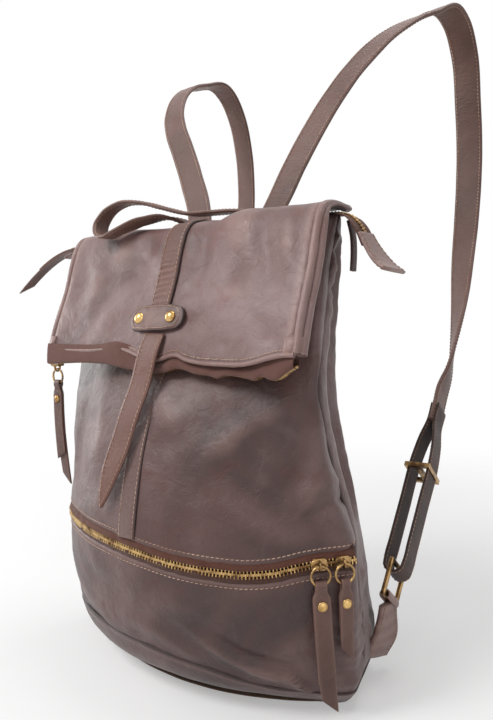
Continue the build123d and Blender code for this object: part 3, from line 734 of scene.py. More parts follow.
def makeSack():
    # upper front, from the zip to the mouth and round to the side seams
    lowZ = lambda s: zipPath["z"] + zipPath["gap"] - 0.6 + zipRise(*wallRow(139, s)[:, :2].T)
    highZ = flatAt(sackTop)
    heightOf = lambda v: 139 + (sackTop - 139) * v
    rightSeam = lambda v: float(sideStation(seamAt(heightOf(v)), heightOf(v)))
    points = wallGrid(lowZ, highZ, lambda v: -rightSeam(v), rightSeam, 124, 96)
    clear = zipClear(points)
    keep = clear * ease(points[..., 2], 404, 330) * 0.9 + 0.1 * clear
    points, height = softWall(points, frontFolds["strokes"], 1, keep)
    normals = gridNormals(points)
    points, shade = seamRoll(points, normals, ("left", "right"))
    runs = edgeRuns(points)
    curl = np.exp(-(runs["low"] / 2.2) ** 2)
    points = points - normals * (curl * 0.9)[..., None]
    # lighter on fold crests and along the curled edge by the zip: wear plus painted highlight
    wear = np.clip(ease(height, 1.0, 3.4) * 0.55 + 0.75 * np.exp(-((runs["low"] - 1.2) / 1.6) ** 2), 0, 1)
    makeSheet("front", points, normals, 2.0, bodyLeather, "bag", {"wear": wear, "shade": shade},
              stands=["front_panel"])
    line, out = lineAt(points, normals, 4.2, "low")
    stitch("stitches_front_zip:bag", line, out)

    # pocket front below the zip
    topZ = lambda s: zipPath["z"] - zipPath["gap"] + 0.6 + zipRise(*wallRow(123, s)[:, :2].T)
    bottomZ = lambda s: through(sack["baseTop"])(s) - 2
    pocketHeight = lambda v: 18 + (123 - 18) * v
    seam = lambda v: float(sideStation(pocketSeamAt(pocketHeight(v)), pocketHeight(v)))
    points = wallGrid(bottomZ, topZ, lambda v: -seam(v), seam, 128, 44)
    points, height = softWall(points, pocketFolds["strokes"], 5, zipClear(points) * 0.95 + 0.05)
    normals = gridNormals(points)
    points, shade = seamRoll(points, normals, ("left", "right", "low"), 1.4, 1.8)
    runs = edgeRuns(points)
    points = points - normals * (np.exp(-(runs["high"] / 2.2) ** 2) * 0.9)[..., None]
    # lighter on fold crests and along the curled edge by the zip: wear plus painted highlight
    wear = np.clip(ease(height, 0.9, 3.2) * 0.6 + 0.8 * np.exp(-((runs["high"] - 1.2) / 1.6) ** 2), 0, 1)
    makeSheet("pocket", points, normals, 2.0, bodyLeather, "bag", {"wear": wear, "shade": shade},
              stands=["pocket_panel"])
    line, out = lineAt(points, normals, 4.2, "high")
    stitch("stitches_pocket_zip:bag", line, out)

    # side walls between the front seams and the back corners
    for side, name in ((1, "right"), (-1, "left")):
        frontEdge = lambda v: float(np.where(
            404 * v > 131, sideStation(seamAt(max(404 * v, 139)), 404 * v),
            sideStation(pocketSeamAt(min(404 * v, 123)), max(404 * v, 3)))) - 0.012
        points = wallGrid(flatAt(12), flatAt(403), lambda v: frontEdge(12 / 404 + v * 391 / 404),
                          lambda v: 2.02, 34, 128)
        normals = gridNormals(points)
        share = np.linspace(0, 1, 34)[None, :]
        z = points[..., 2]
        pleat = -7.5 * np.exp(-((share - 0.52) / 0.17) ** 2) + 2.6 * np.exp(-((share - 0.20) / 0.13) ** 2) \
            + 1.8 * np.exp(-((share - 0.84) / 0.10) ** 2)
        pleat = pleat * ease(z, 112, 170) * ease(z, 396, 350)
        y = points[..., 1]
        creases = foldHeight(y, z, sideFolds["strokes"])
        calm = 1 - 0.9 * bell(z, 131, 18)
        height = (pleat + creases + 1.0 * wander(points, 26, 8) + 0.5 * wander(points, 9, 9)) * calm
        points = points + normals * height[..., None]
        normals = gridNormals(points)
        points, shade = seamRoll(points, normals, ("left", "right"), 1.8, 2.2, 0.9)
        shade = np.maximum(shade, 0.55 * ease(-height, 2.5, 8))
        # lighter on the crests of the pleats: wear plus painted highlight
        wear = ease(height, 1.2, 3.0) * 0.5
        if side < 0:
            points, normals = points * vec(-1, 1, 1), normals * vec(-1, 1, 1)
            points, normals = points[:, ::-1], normals[:, ::-1]
            shade, wear = shade[:, ::-1], wear[:, ::-1]
        makeSheet("side_wall_" + name, points, normals, 1.9, bodyLeather, "bag",
                  {"wear": wear, "shade": shade}, stands=[name + "_gusset"])

    # back
    points = wallGrid(flatAt(16), flatAt(sackTop), lambda v: 1.99, lambda v: 4.01, 92, 120)
    points, height = softWall(points, backFolds["strokes"], 21, ease(points[..., 2], 404, 340))
    points[..., 1] = np.minimum(points[..., 1], levelAt(points[..., 2])[..., 4] + 1.5)
    normals = gridNormals(points)
    points, shade = seamRoll(points, normals, ("left", "right", "low"), 1.6, 2.2)
    # lighter on fold crests: wear plus painted highlight
    makeSheet("back", points, normals, 2.0, bodyLeather, "bag",
              {"wear": ease(height, 1, 3) * 0.4, "shade": shade}, stands=["back_panel"])

    # bottom, sewn up into the walls all round
    s = np.linspace(-1.0, 5.0, 260)
    topAt = through(sack["baseTop"])
    top = np.where(s > 4.7, topAt(np.clip(s - 6, -1.3, 1.3)), 16.0)
    top = np.where(s <= 1.3, topAt(np.clip(s, -1.3, 1.3)), top)
    rows = []
    for v in np.linspace(1, 0, 12):          # up the wall
        z = 1.2 + (top - 1.2) * v
        rows.append(np.array([wallRow(h, [k])[0] for h, k in zip(z, s)]))
    rim = rows[-1]
    middle = vec(0, -6, 0)
    for v in (0.985, 0.96, 0.92, 0.86, 0.76, 0.62, 0.46, 0.30, 0.14, 0.0):
        row = middle + (rim - middle) * v
        row[:, 2] = 0.25 + 1.2 * ease(v, 0.94, 1.0) + 0.8 * (1 - v)
        rows.append(row)
    points = np.array(rows)[::-1]
    normals = gridNormals(points)
    points = points.copy()
    height = 0.9 * wander(points, 24, 31) * ease(points[..., 2], 2, 20)
    points += normals * height[..., None]
    welt = np.zeros(points.shape[:2])
    welt[-10:] = 1.0
    points += normals * (0.7 * welt)[..., None]
    points[..., 2] = np.maximum(points[..., 2], 0.15)
    runs = edgeRuns(points)
    shade = 0.7 * np.exp(-(runs["high"] / 1.6) ** 2)
    # lighter band just inside the welt: wear plus painted sheen
    wear = 0.45 * np.exp(-((runs["high"] - 3) / 2.0) ** 2)
    makeSheet("bottom", points, gridNormals(points), 2.0, bodyLeather, "bag", {"wear": wear, "shade": shade},
              stands=["base_panel"])
    print("sack made")


def tube(points, radius, count=10, closed=False):
    # a round bar along a line
    points = np.asarray(points, float)
    if closed:
        direction = unit(np.roll(points, -1, 0) - np.roll(points, 1, 0))
    else:
        direction = unit(np.gradient(points, axis=0))
    normal = unit(np.cross(direction[0], [0.31, 0.22, 0.92]))
    made, faces = [], []
    radii = np.broadcast_to(radius, len(points))
    for i in range(len(points)):
        normal = unit(normal - direction[i] * np.dot(normal, direction[i]))
        other = np.cross(direction[i], normal)
        for j in range(count):
            a = 2 * math.pi * j / count
            made.append(points[i] + (normal * math.cos(a) + other * math.sin(a)) * radii[i])
    rings = len(points)
    for i in range(rings if closed else rings - 1):
        k = (i + 1) % rings
        twist = 0
        if closed and k == 0:                # the last ring meets the first at its nearest corner
            gaps = [np.linalg.norm(made[(rings - 1) * count] - made[j]) for j in range(count)]
            twist = int(np.argmin(gaps))
        for j in range(count):
            q = (j + 1) % count
            faces.append([i * count + j, k * count + (j + twist) % count,
                          k * count + (q + twist) % count, i * count + q][::-1])
    if not closed:
        faces += [list(range(count)), [(rings - 1) * count + j for j in range(count)][::-1]]
    return made, faces


teeth = {"pitch": 2.9, "reach": 3.3, "tip": -1.0, "height": 1.25}


def makeTeeth(name, line, out, body, stands, pitch=teeth["pitch"]):
    # two rows of cast teeth that mesh along the middle
    reach, tip, height = teeth["reach"], teeth["tip"], teeth["height"]
    rings = [(tip, 0.52, 0.50), (tip + 0.9, 0.66, 0.66), (tip + 1.9, 0.50, 0.60),
             (reach - 0.9, 0.42, 0.95), (reach, 0.40, 0.72)]      # place, width, height
    points, faces = [], []
    for side in (1, -1):
        p, n, t = resample(line, out, pitch, 0.5 if side > 0 else 1.0)
        across = unit(np.cross(n, t)) * side
        for k in range(len(p)):
            base = len(points)
            for a, wide, tall in rings:
                for u, v in ((-1, -1), (1, -1), (1, 0.55), (0.55, 1), (-0.55, 1), (-1, 0.55)):
                    points.append(p[k] + across[k] * a + t[k] * u * wide * pitch / 2
                                  + n[k] * v * tall * height)
            for r in range(4):
                for j in range(6):
                    q = (j + 1) % 6
                    face = [base + r * 6 + j, base + r * 6 + q, base + r * 6 + 6 + q, base + r * 6 + 6 + j]
                    faces.append(face if side > 0 else face[::-1])
            ends = [[base + j for j in range(6)][::-1], [base + 24 + j for j in range(6)]]
            faces += ends if side > 0 else [e[::-1] for e in ends]
    makeObject(name, points, faces, brassTeeth, body, smooth=False, stands=stands)


def sliderParts(along=False):
    # drawn with the zip along x, outside towards -y: body plates, a bail and its two feet
    half, gap = 6.3, 1.55
    plate = [(-half, -2.4), (-half + 1.2, -3.6), (-1, -4.7), (half - 2.4, -4.9), (half, -3.4), (half, 3.4),
             (half - 2.4, 4.9), (-1, 4.7), (-half + 1.2, 3.6), (-half, 2.4)]
    parts = [extruded(plate, -gap - 1.4, -gap, 0.45),
             extruded([(x * 0.94, z * 0.76) for x, z in plate], gap, gap + 1.4, 0.4)]
    for z in (-4.25, 4.25):                  # rims folded over the teeth
        rim = [(-4.6, z - 0.5), (4.8, z - 0.5), (4.8, z + 0.5), (-4.6, z + 0.5)]
        parts.append(extruded(rim, -gap - 0.2, -0.75, 0.15))
    top = -8.05
    bail = [(-2.9, -2.4), (-2.9, -4.2), (-2.5, -6.4), (-1.5, top + 0.35), (0, top), (1.5, top + 0.35),
            (2.5, -6.4), (2.9, -4.2), (2.9, -2.4)]
    route = through(list(zip(range(9), [vec(a, b) for a, b in bail])))(np.linspace(0, 8, 33))
    line = np.stack([route[:, 0], route[:, 1], route[:, 0] * 0], -1) if along else \
        np.stack([route[:, 0] * 0, route[:, 1], route[:, 0]], -1)
    girth = 0.85 + 0.5 * np.abs(np.linspace(-1, 1, 33)) ** 2
    parts.append(tube(line, girth, 10))
    for k in (-1, 1):
        foot = vec(k * 2.7, -gap - 1.6, 0) if along else vec(0, -gap - 1.6, k * 2.7)
        parts.append(lathe([(1.5, -0.5), (1.5, 0.2), (1.0, 0.6)], foot, vec(0, -1, 0), 12))
    return parts


def makeSlider(name, place, body, stands, along=False):
    points, faces = joined(sliderParts(along))
    made = makeObject(name, [place(vec(*p)) for p in points], faces, brassWorn, body, stands=stands)
    sharpen(made, 40)


def sharpen(made, angle):                    # smooth shading that keeps the crisp edges
    made.data.set_sharp_from_angle(angle=math.radians(angle))


pulls = {
    # length, width, bow forward, lean of the lower end
    "pocket_front": {"length": 92.0, "width": 13.0, "curl": 1.6, "sway": 3.0},
    "pocket_rear": {"length": 52.0, "width": 10.0, "curl": 1.0, "sway": -1.0},
    "flap_zip": {"length": 92.0, "width": 12.0, "curl": 1.4, "sway": 2.0},
    "main_zip": {"length": 92.0, "width": 12.0, "curl": 1.2, "sway": 0.0},
}
bailPivot = 5.9                              # height of the bail's inside over the zip
ringRadius = 7.5
pullDrop = 14.1                              # from the bail to the top of the pull


def makePull(key, place, droop=None):
    # one strip folded through the ring: a short front layer with a slanted end, a longer pointed one behind
    spec = pulls[key]
    length, half = spec["length"], spec["width"] / 2
    ply = 1.85
    front = [(-ply, -s) for s in np.linspace(length * 0.80, 6.5, 26)]
    loop = [(-ply - 0.25, -4.6), (-3.0, -2.2), (-3.25, 0), (-2.3, 2.3), (0, 3.25), (2.3, 2.3), (3.25, 0),
            (3.0, -2.2), (ply + 0.25, -4.6)]
    rear = [(ply, -s) for s in np.linspace(6.5, length, 32)]
    path = np.array(front + loop + rear, float)
    columns = np.array([-1, -0.93, -0.75, -0.4, 0, 0.4, 0.75, 0.93, 1])
    rows = len(path)
    points = np.zeros((rows, 9, 3))
    for i, (y, z) in enumerate(path):
        depth = -z
        width = half * (0.60 + 0.40 * float(ease(depth, 4.0, 11.0)))
        isFront = i < len(front)
        end = length * 0.80 if isFront else length
        share = np.clip((depth - end * 0.55) / (end * 0.45), 0, 1)
        if isFront:
            cut = columns * 3.2
        else:
            cut = -5.2 - columns * 5.2
        sway = spec["sway"] * (depth / length) ** 2
        bow = -spec["curl"] * math.sin(math.pi * np.clip(depth / length, 0, 1)) \
            + (0.0 if isFront else 0.5 * share * spec["curl"])
        taper = 1.0 if isFront else 1 - 0.06 * share
        extra = 0.0 if isFront else 1.3 * share
        points[i, :, 0] = columns * width * taper + sway + extra
        points[i, :, 1] = y + bow + 0.25 * np.abs(columns) ** 3 * 0.4
        points[i, :, 2] = z + cut * share
    normals = gridNormals(points)
    if normals[len(front) // 2, 4, 1] > 0:
        normals = -normals
    bend = droop or (lambda p: p)
    grid = np.array([[place(bend(p)) for p in row] for row in points])
    out = gridNormals(grid)
    outward = place(normals[10, 4]) - place(vec(0, 0, 0))
    if np.sum(out[10, 4] * outward) < 0:
        grid = grid[:, ::-1]
        out = gridNormals(grid)
    edge = (1 - np.abs(columns)) * half
    wear = np.repeat((0.5 * np.exp(-(edge / 1.2) ** 2))[None], rows, 0)
    makeSheet(key + "_pull_leather", grid, out, 1.75, pullLeather, key + "_pull", {"wear": wear},
              stands=[key + "_pull"])
    rivetAt = 16.0
    seat = vec(0, -ply - 0.2 - spec["curl"] * math.sin(math.pi * rivetAt / length), -rivetAt)
    rim = lathe([(4.0, -1.2), (4.0, 0.3), (3.6, 0.75), (3.1, 0.85), (2.9, 0.55)], seat, vec(0, -1, 0), 24)
    dome = lathe([(3.0, -1.2), (3.0, 0.75), (2.3, 1.25), (1.2, 1.5), (0.3, 1.56)], seat, vec(0, -1, 0), 24)
    for part, finish, tail in ((rim, brassWorn, "_rivet_rim"), (dome, brassDome, "_rivet_dome")):
        solid = [place(bend(vec(*p))) for p in part[0]]
        made = makeObject(key + tail, solid, part[1], finish, key + "_pull",
                          stands=[key + "_rivet"] if tail == "_rivet_dome" else ())
        sharpen(made, 50)


pullLeather = makeLeather("strap", 5.5, 0.5, 0.0)


def makeRing(key, place):
    turn = [place(vec(ringRadius * math.sin(a), 0, -ringRadius + ringRadius * math.cos(a)))
            for a in np.linspace(0, 2 * math.pi, 49)[:-1]]
    points, faces = tube(turn, 1.0, 12, closed=True)
    makeObject(key + "_ring_wire", points, faces, brassWorn, key + "_ring", stands=[key + "_ring"])


def onPocket(angle):
    a = math.radians(angle)

    def place(p):
        x, y = p[0], p[1] - zipPath["radius"]
        return vec(x * math.cos(a) - y * math.sin(a), x * math.sin(a) + y * math.cos(a) + zipPath["y"],
                   p[2] + zipPath["z"])
    return place


def makePocketZip():
    angles = np.linspace(-52, 52, 261)
    a = np.radians(angles)

    def line(radius, drop):
        return np.stack([radius * np.sin(a), zipPath["y"] - radius * np.cos(a),
                         zipPath["z"] + zipWave(angles) + drop], -1)

    pucker = 0.9 * wander(np.stack([angles * 4, angles * 0, angles * 0], -1), 9, 3)
    step = (sum(bell(angles, c, 1.1) for c in (0.5, 9.5, 18.0))
            + 0.8 * sum(bell(angles, c, 1.6) for c in (-9, -19, 27)))
    for name, sign in (("upper", 1), ("lower", -1)):
        profile = [(2.5, 0.35), (3.4, 0.55), (5.0, 0.2), (7.0, -0.4), (9.2, -1.9), (12.0, -2.7)]
        rows = []
        for reach, rise in profile:
            cover = 1.4 * step * (1 if sign < 0 else 0.25) * math.exp(-((reach - 3.4) / 3.0) ** 2)
            row = line(zipPath["radius"] + rise + pucker * math.exp(-((reach - 5) / 3) ** 2) + cover * 0.8,
                       sign * (reach - cover * 1.2))
            rows.append(row)
        points = np.array(rows if sign > 0 else rows[::-1])
        normals = gridNormals(points)
        shade = np.zeros(points.shape[:2])
        shade[-2:] = 0.45 if sign > 0 else 0
        shade[:2] += 0.45 if sign < 0 else 0
        shade += (0.35 if sign < 0 else 0.0)
        makeSheet("pocket_tape_" + name, points, normals, 0.7, tapeCloth, "bag",
                  {"shade": np.clip(shade, 0, 1)},
                  stands=["pocket_zip_tape"])
    middle = line(zipPath["radius"] + 0.3, 0.0)
    out = np.stack([np.sin(a), -np.cos(a), a * 0], -1)
    makeTeeth("pocket_teeth", middle, out, "bag", ["pocket_zip_teeth"])
    for key, angle in (("pocket_front", 44.0), ("pocket_rear", 49.0)):
        place = onPocket(angle)
        makeSlider(key + "_slider_body", place, key + "_slider", [key + "_slider"])
        hung = lambda p, place=place: place(p + vec(0, -bailPivot, 0))
        makeRing(key, hung)
        makePull(key, lambda p, hung=hung: hung(p + vec(0, 0, -pullDrop)))
    print("pocket zip made")


def makeMainZip():
    route = [(-183, 404.6), (-150, 404.6), (-60, 404.4), (40, 404.4), (120, 404.6), (150, 404.2),
             (158, 400.8),
             (164, 394.4), (169, 385), (173, 375)]
    line = through(list(zip(along(route), [vec(*p) for p in route])))
    run = along(route)[-1]
    at = line(np.linspace(0, run, 130))
    rows = []
    for y in np.linspace(-14.2, 12.2, 13):
        rise = 0.25 * math.cos(y * 0.7)
        taper = ease(at[:, 0], 150, 172)
        wide = y + 1.0
        rows.append(np.stack([at[:, 0], -1.0 + wide * (1 + 0.06 * taper),
                              at[:, 1] + rise + taper * 0.4 * abs(wide) * 0.1], -1))
    points = np.array(rows)
    normals = gridNormals(points)
    gapShade = np.repeat((0.5 * np.exp(-((np.linspace(-14.2, 12.2, 13) + 1) / 3.0) ** 2))[:, None], 130, 1)
    makeSheet("main_tape", points, normals, 0.8, tapeCloth, "bag", {"shade": gapShade},
              stands=["main_zip_tape"])
    middle = np.stack([at[:, 0], at[:, 0] * 0 - 1.0, at[:, 1] + 0.6], -1)
    out = unit(np.stack([-np.gradient(at[:, 1]), at[:, 0] * 0, np.gradient(at[:, 0])], -1))
    makeTeeth("main_teeth", middle, out, "bag", ["main_zip_teeth"], pitch=3.0)

    sliderAt = (-165.0, -1.0, 404.4)
    faceUp = lambda p: vec(p[0] + sliderAt[0], p[2] + sliderAt[1], sliderAt[2] - p[1])
    makeSlider("main_slider_body", faceUp, "main_zip_slider", ["main_zip_slider"], along=True)
    hung = lambda p: faceUp(vec(p[2], p[1] - bailPivot, -p[0]))
    makeRing("main_zip", hung)

    def droop(p):                            # the pull sags under its own weight past the ring
        reach = max(0.0, -p[2] - 2)
        fall = 0.0042 * reach ** 2
        return vec(p[0] + 0.0016 * reach ** 2, p[1] + fall, p[2] * (1 - 0.0009 * reach))
    makePull("main_zip", lambda p: hung(p + vec(0, 0, -pullDrop)), droop)

    # leather ends sewn over the tape
    end = [(169.5, -1, 386), (174, -1, 377), (181, -1, 366), (187, -2, 359.5), (193.5, -3, 354.5)]
    makeStrap("zip_end_right", end, (0, 1, 0), 30, 3.2, tabLeather, "bag",
              widths=lambda s: 27 + 9 * ease(s, 0, 30), step=1.6,
              stitchIn=("stitches_ends:bag", 3.4), stands=["main_zip_right_tab"],
              marks={"wear": lambda s, c: 0.15 + 0.3 * ease(s, 26, 38)})
    makeStrap("zip_end_left", [(-182, -1, 404.6), (-188, -1, 404.0), (-196, -1, 401.5)], (0, 1, 0), 30, 2.8,
              tabLeather, "bag", step=1.5, stitchIn=("stitches_ends:bag", 3.2), stands=["main_zip_left_tab"])
    end = [(150.5, 9, 400), (152.5, 10, 388), (153, 9.5, 372), (152, 9, 358)]
    makeStrap("zip_end_inner", end, (0, 1, 0.05), 9, 2.4, innerLeather, "bag", step=1.6)
    print("main zip made")


flap = {
    "outer": [(12, 418.4), (-16, 418.4), (-29, 414), (-37, 405), (-42, 394), (-53, 362), (-68, 328),
              (-80.5, 296)],
    "inner": [(12, 415.2), (-15, 415.2), (-24, 411), (-29, 404), (-32, 394), (-41, 362), (-56.5, 328),
              (-69.5, 296)],
    "half": 147.0,
    "ridge": [(-153, 0.5), (-126, 0.2), (-80, -1.6), (-45, -4.5), (-13, -6.8), (5, -6), (17, -4.2),
              (35, -5.8),
              (68, -1.8), (100, -3.4), (122, -4.4), (153, -5.5)],       # x, rise of the folded top edge
    "hem": [(-153, 5), (-129, 4), (-104, 3), (-78, 2.5), (-62, 3.5), (-47, 5), (-33, 2.5), (-15, -3), (2, -7),
            (13, -6), (24, -3), (32, -3), (40, -6), (55, -9), (78, -10.5), (107, -10), (116, -8), (123, -6),
            (133, -4), (153, -3)],                                      # x, rise of the lower edge
    "tapeLow": [(-153, 286), (-60, 286), (-20, 280), (20, 280), (27, 282), (40, 281), (51, 278), (64, 277),
                (73, 275), (82, 277), (104, 275), (110, 274), (118, 277), (125, 274.5), (132, 275),
                (140, 280),
                (153, 287)],                                            # x, lower edge of the zip tape
    # (x, distance from the back seam) places, width, height
    "strokes": [
        ([(22, 30), (34, 60), (38, 90), (26, 120)], 14, -3.4),
        ([(-60, 24), (-70, 60), (-60, 100)], 20, 2.2),
        ([(-30, 36), (-34, 80), (-28, 110)], 13, -2.2),
        ([(62, 24), (72, 60), (80, 100)], 18, 2.4),
        ([(96, 40), (99, 70), (110, 100), (121, 128)], 9, -2.6),
        ([(120, 36), (124, 70), (130, 104)], 9, 1.6),
        ([(-140, 60), (-120, 90), (-128, 128)], 12, -1.8),
        ([(-100, 70), (-96, 110), (-104, 140)], 12, 1.6),
        ([(40, 110), (70, 118), (100, 112)], 12, 1.4),
        ([(-10, 132), (30, 140), (60, 138)], 8, -1.4),
    ],
}
ridgeAt, hemAt, tapeLowAt = through(flap["ridge"]), through(flap["hem"]), through(flap["tapeLow"])
outerRun, innerRun = along(flap["outer"]), along(flap["inner"])
outerLine = through(list(zip(outerRun, [vec(*p) for p in flap["outer"]])))
innerLine = through(list(zip(innerRun, [vec(*p) for p in flap["inner"]])))
flapLength = outerRun[-1]


def flapPoint(x, share, line=outerLine, length=flapLength, lift=0.0):
    # a place on the flap: x, and the share of the way from the back seam to the hem
    x, share = np.broadcast_arrays(np.asarray(x, float), np.asarray(share, float))
    yz = line(share * length)
    ahead, behind = line(np.clip(share * length + 1, 0, length)), line(np.clip(share * length - 1, 0, length))
    down = unit(ahead - behind)
    out = np.stack([down[..., 1], -down[..., 0]], -1)
    top = ridgeAt(x) * ease(share, 0.52, 0.06)
    low = hemAt(x) * ease(share, 0.55, 1.0)
    place = np.stack([x, yz[..., 0], yz[..., 1] + top], -1)
    place[..., 1] += down[..., 0] * (-low)
    place[..., 2] += low * np.abs(down[..., 1])
    normal = np.stack([x * 0, out[..., 0], out[..., 1]], -1)
    normal = np.where(normal[..., 1:2] > 0.2, -normal, normal)
    return place + normal * lift, normal


def flapHeight(x, share):                    # folds of the flap, calm at its edges and under the strap
    d = share * flapLength
    height = foldHeight(x, d, flap["strokes"])
    where = np.stack([x, d, x * 0], -1)
    height = height + 1.5 * wander(where, 46, 12) + 0.5 * wander(where, 15, 13)
    pucker = np.sin(x * 1.25 + 2.0 * wander(where, 22, 15)) * np.exp(-((flapLength - d - 5) / 5.5) ** 2)
    height = height * ease(flap["half"] + 6 - np.abs(x), 4, 24)
    height = height * ease(d, 14, 40) * ease(flapLength - d, 3, 22)
    height = height * ease(np.abs(x), 10, 26)
    return height + 0.55 * pucker * ease(np.abs(x), 14, 20) * bell(x, 70, 80)


def makeFlap():
    half = flap["half"] - 0.5
    x = np.linspace(-half, half, 132)
    share = np.linspace(1, 0.0, 84)
    grid, where = np.meshgrid(x, share)
    points, out = flapPoint(grid, where)
    height = flapHeight(grid, where)
    points = points + out * height[..., None]
    normals = gridNormals(points)
    runs = edgeRuns(points)
    side = np.minimum(runs["left"], runs["right"])
    tuck = 2.2 * np.exp(-(side / 2.4) ** 2) + 1.2 * np.exp(-(runs["low"] / 1.6) ** 2)
    points = points - normals * tuck[..., None]
    shade = (0.8 * np.exp(-(side / 1.6) ** 2)
             + 0.55 * np.exp(-((runs["low"] - 4.6) / 0.9) ** 2) * bell(grid, 70, 90))
    # lighter on fold crests, in a band 5 mm in from each side and along the hem: wear plus painted highlight
    wear = np.clip(ease(height, 0.8, 3.0) * 0.55 + 0.5 * np.exp(-((side - 5) / 3.5) ** 2)
                   + 0.5 * np.exp(-((runs["low"] - 2.2) / 1.8) ** 2), 0, 1)
    makeSheet("flap_front", points, gridNormals(points), 1.8, flapLeather, "flap",
              {"wear": wear, "shade": np.clip(shade, 0, 1)}, stands=["flap_outer"])
    line, away = lineAt(points, gridNormals(points), 5.0, "low")
    stitch("stitches_hem:flap", line, away, pitch=3.4)

    # rolled lower edge
    edge, _ = flapPoint(np.linspace(-146, 148, 200), 1.0)
    edge = edge + vec(0, 1.1, 0.6)
    pts, faces = tube(edge, 1.9 + 0.25 * wander(edge, 8, 4), 12)
    makeObject("flap_hem_roll", pts, faces, flapLeather, "flap",
               uv=np.array(pts)[:, [0, 2]], marks={"wear": np.full(len(pts), 0.5),
                                                   "shade": np.zeros(len(pts))})

    # inner layer
    share = np.linspace(1, 0.0, 60)
    grid, where = np.meshgrid(np.linspace(-half, half, 84), share)
    points, _ = flapPoint(grid, where, innerLine, innerRun[-1])
    inner = points[:, ::-1]
    makeSheet("flap_back", inner, gridNormals(inner), 1.3, innerLeather, "flap", stands=["flap_inner"])

    # two rolls along each side edge
    for sign, name in ((1, "right"), (-1, "left")):
        share = np.linspace(0.0, 0.985, 120)
        outerPath, away = flapPoint(np.full(120, sign * 147.5), share)
        innerPath, _ = flapPoint(np.full(120, sign * 147.5), share, innerLine, innerRun[-1])
        depth = np.linalg.norm(outerPath - innerPath, axis=1)
        first = outerPath - away * 2.6
        swell = 3.25 + 0.35 * wander(first, 14, 7 + sign)
        parts = [tube(first, swell, 14)]
        second = outerPath - away * np.minimum(3.4 + depth * 0.42, depth)[:, None] + vec(sign * 2.4, 0, 0)
        parts.append(tube(second, np.clip(depth * 0.36, 1.6, 4.0) + 0.3 * wander(second, 12, 9), 14))
        pts, faces = joined(parts)
        pts = np.array(pts)
        count = 120 * 14
        # the outer roll lighter than the inner one, mottled: wear plus painted highlight
        wear = np.concatenate([np.full(count, 0.55), np.full(len(pts) - count, 0.35)])
        wear = wear * (0.6 + 0.8 * np.clip(wander(pts, 30, 17) + 0.3, 0, 1))
        makeObject("flap_edge_" + name, pts, faces, flapLeather, "flap", uv=pts[:, [1, 2]],
                   marks={"wear": wear, "shade": np.zeros(len(pts))}, stands=[name + "_flap_piping"])
        # groove between the rolls, a tube darkened with painted shade, and the folded corner at the hem
        groove = outerPath - away * 5.4 + vec(sign * 1.5, 0, 0)
        pts, faces = tube(groove[6:], 1.5, 8)
        makeObject("flap_groove_" + name, pts, faces, innerLeather, "flap",
                   uv=np.array(pts)[:, [1, 2]], marks={"shade": np.full(len(pts), 0.75),
                                                       "wear": np.zeros(len(pts))})
        corner = outerPath[-1]
        cap = np.stack([np.linspace(corner[0] - sign * 9, corner[0] + sign * 4.5, 9),
                        corner[1] + np.array([0.8, 0.2, 0, 0, 0.3, 1.2, 2.4, 4.5, 7.5]),
                        np.full(9, corner[2] + 1.5)], -1)
        rows = [cap + vec(0, 2.8, -3.2), cap + vec(0, -0.6, -2.6), cap + vec(0, -1.2, 0),
                cap + vec(0, 0.6, 5.5),
                cap + vec(0, 2.2, 9.5)]
        rows = np.array(rows)[:, ::(1 if sign > 0 else -1)]
        makeSheet("flap_corner_" + name, rows, gridNormals(rows), 1.6, flapLeather, "flap",
                  {"wear": np.full(rows.shape[:2], 0.6)})
        lineP, lineN = lineAt(rows, gridNormals(rows), 4.6, "low")
        stitch("stitches_hem:flap", lineP, lineN, pitch=3.2)
    print("flap made")


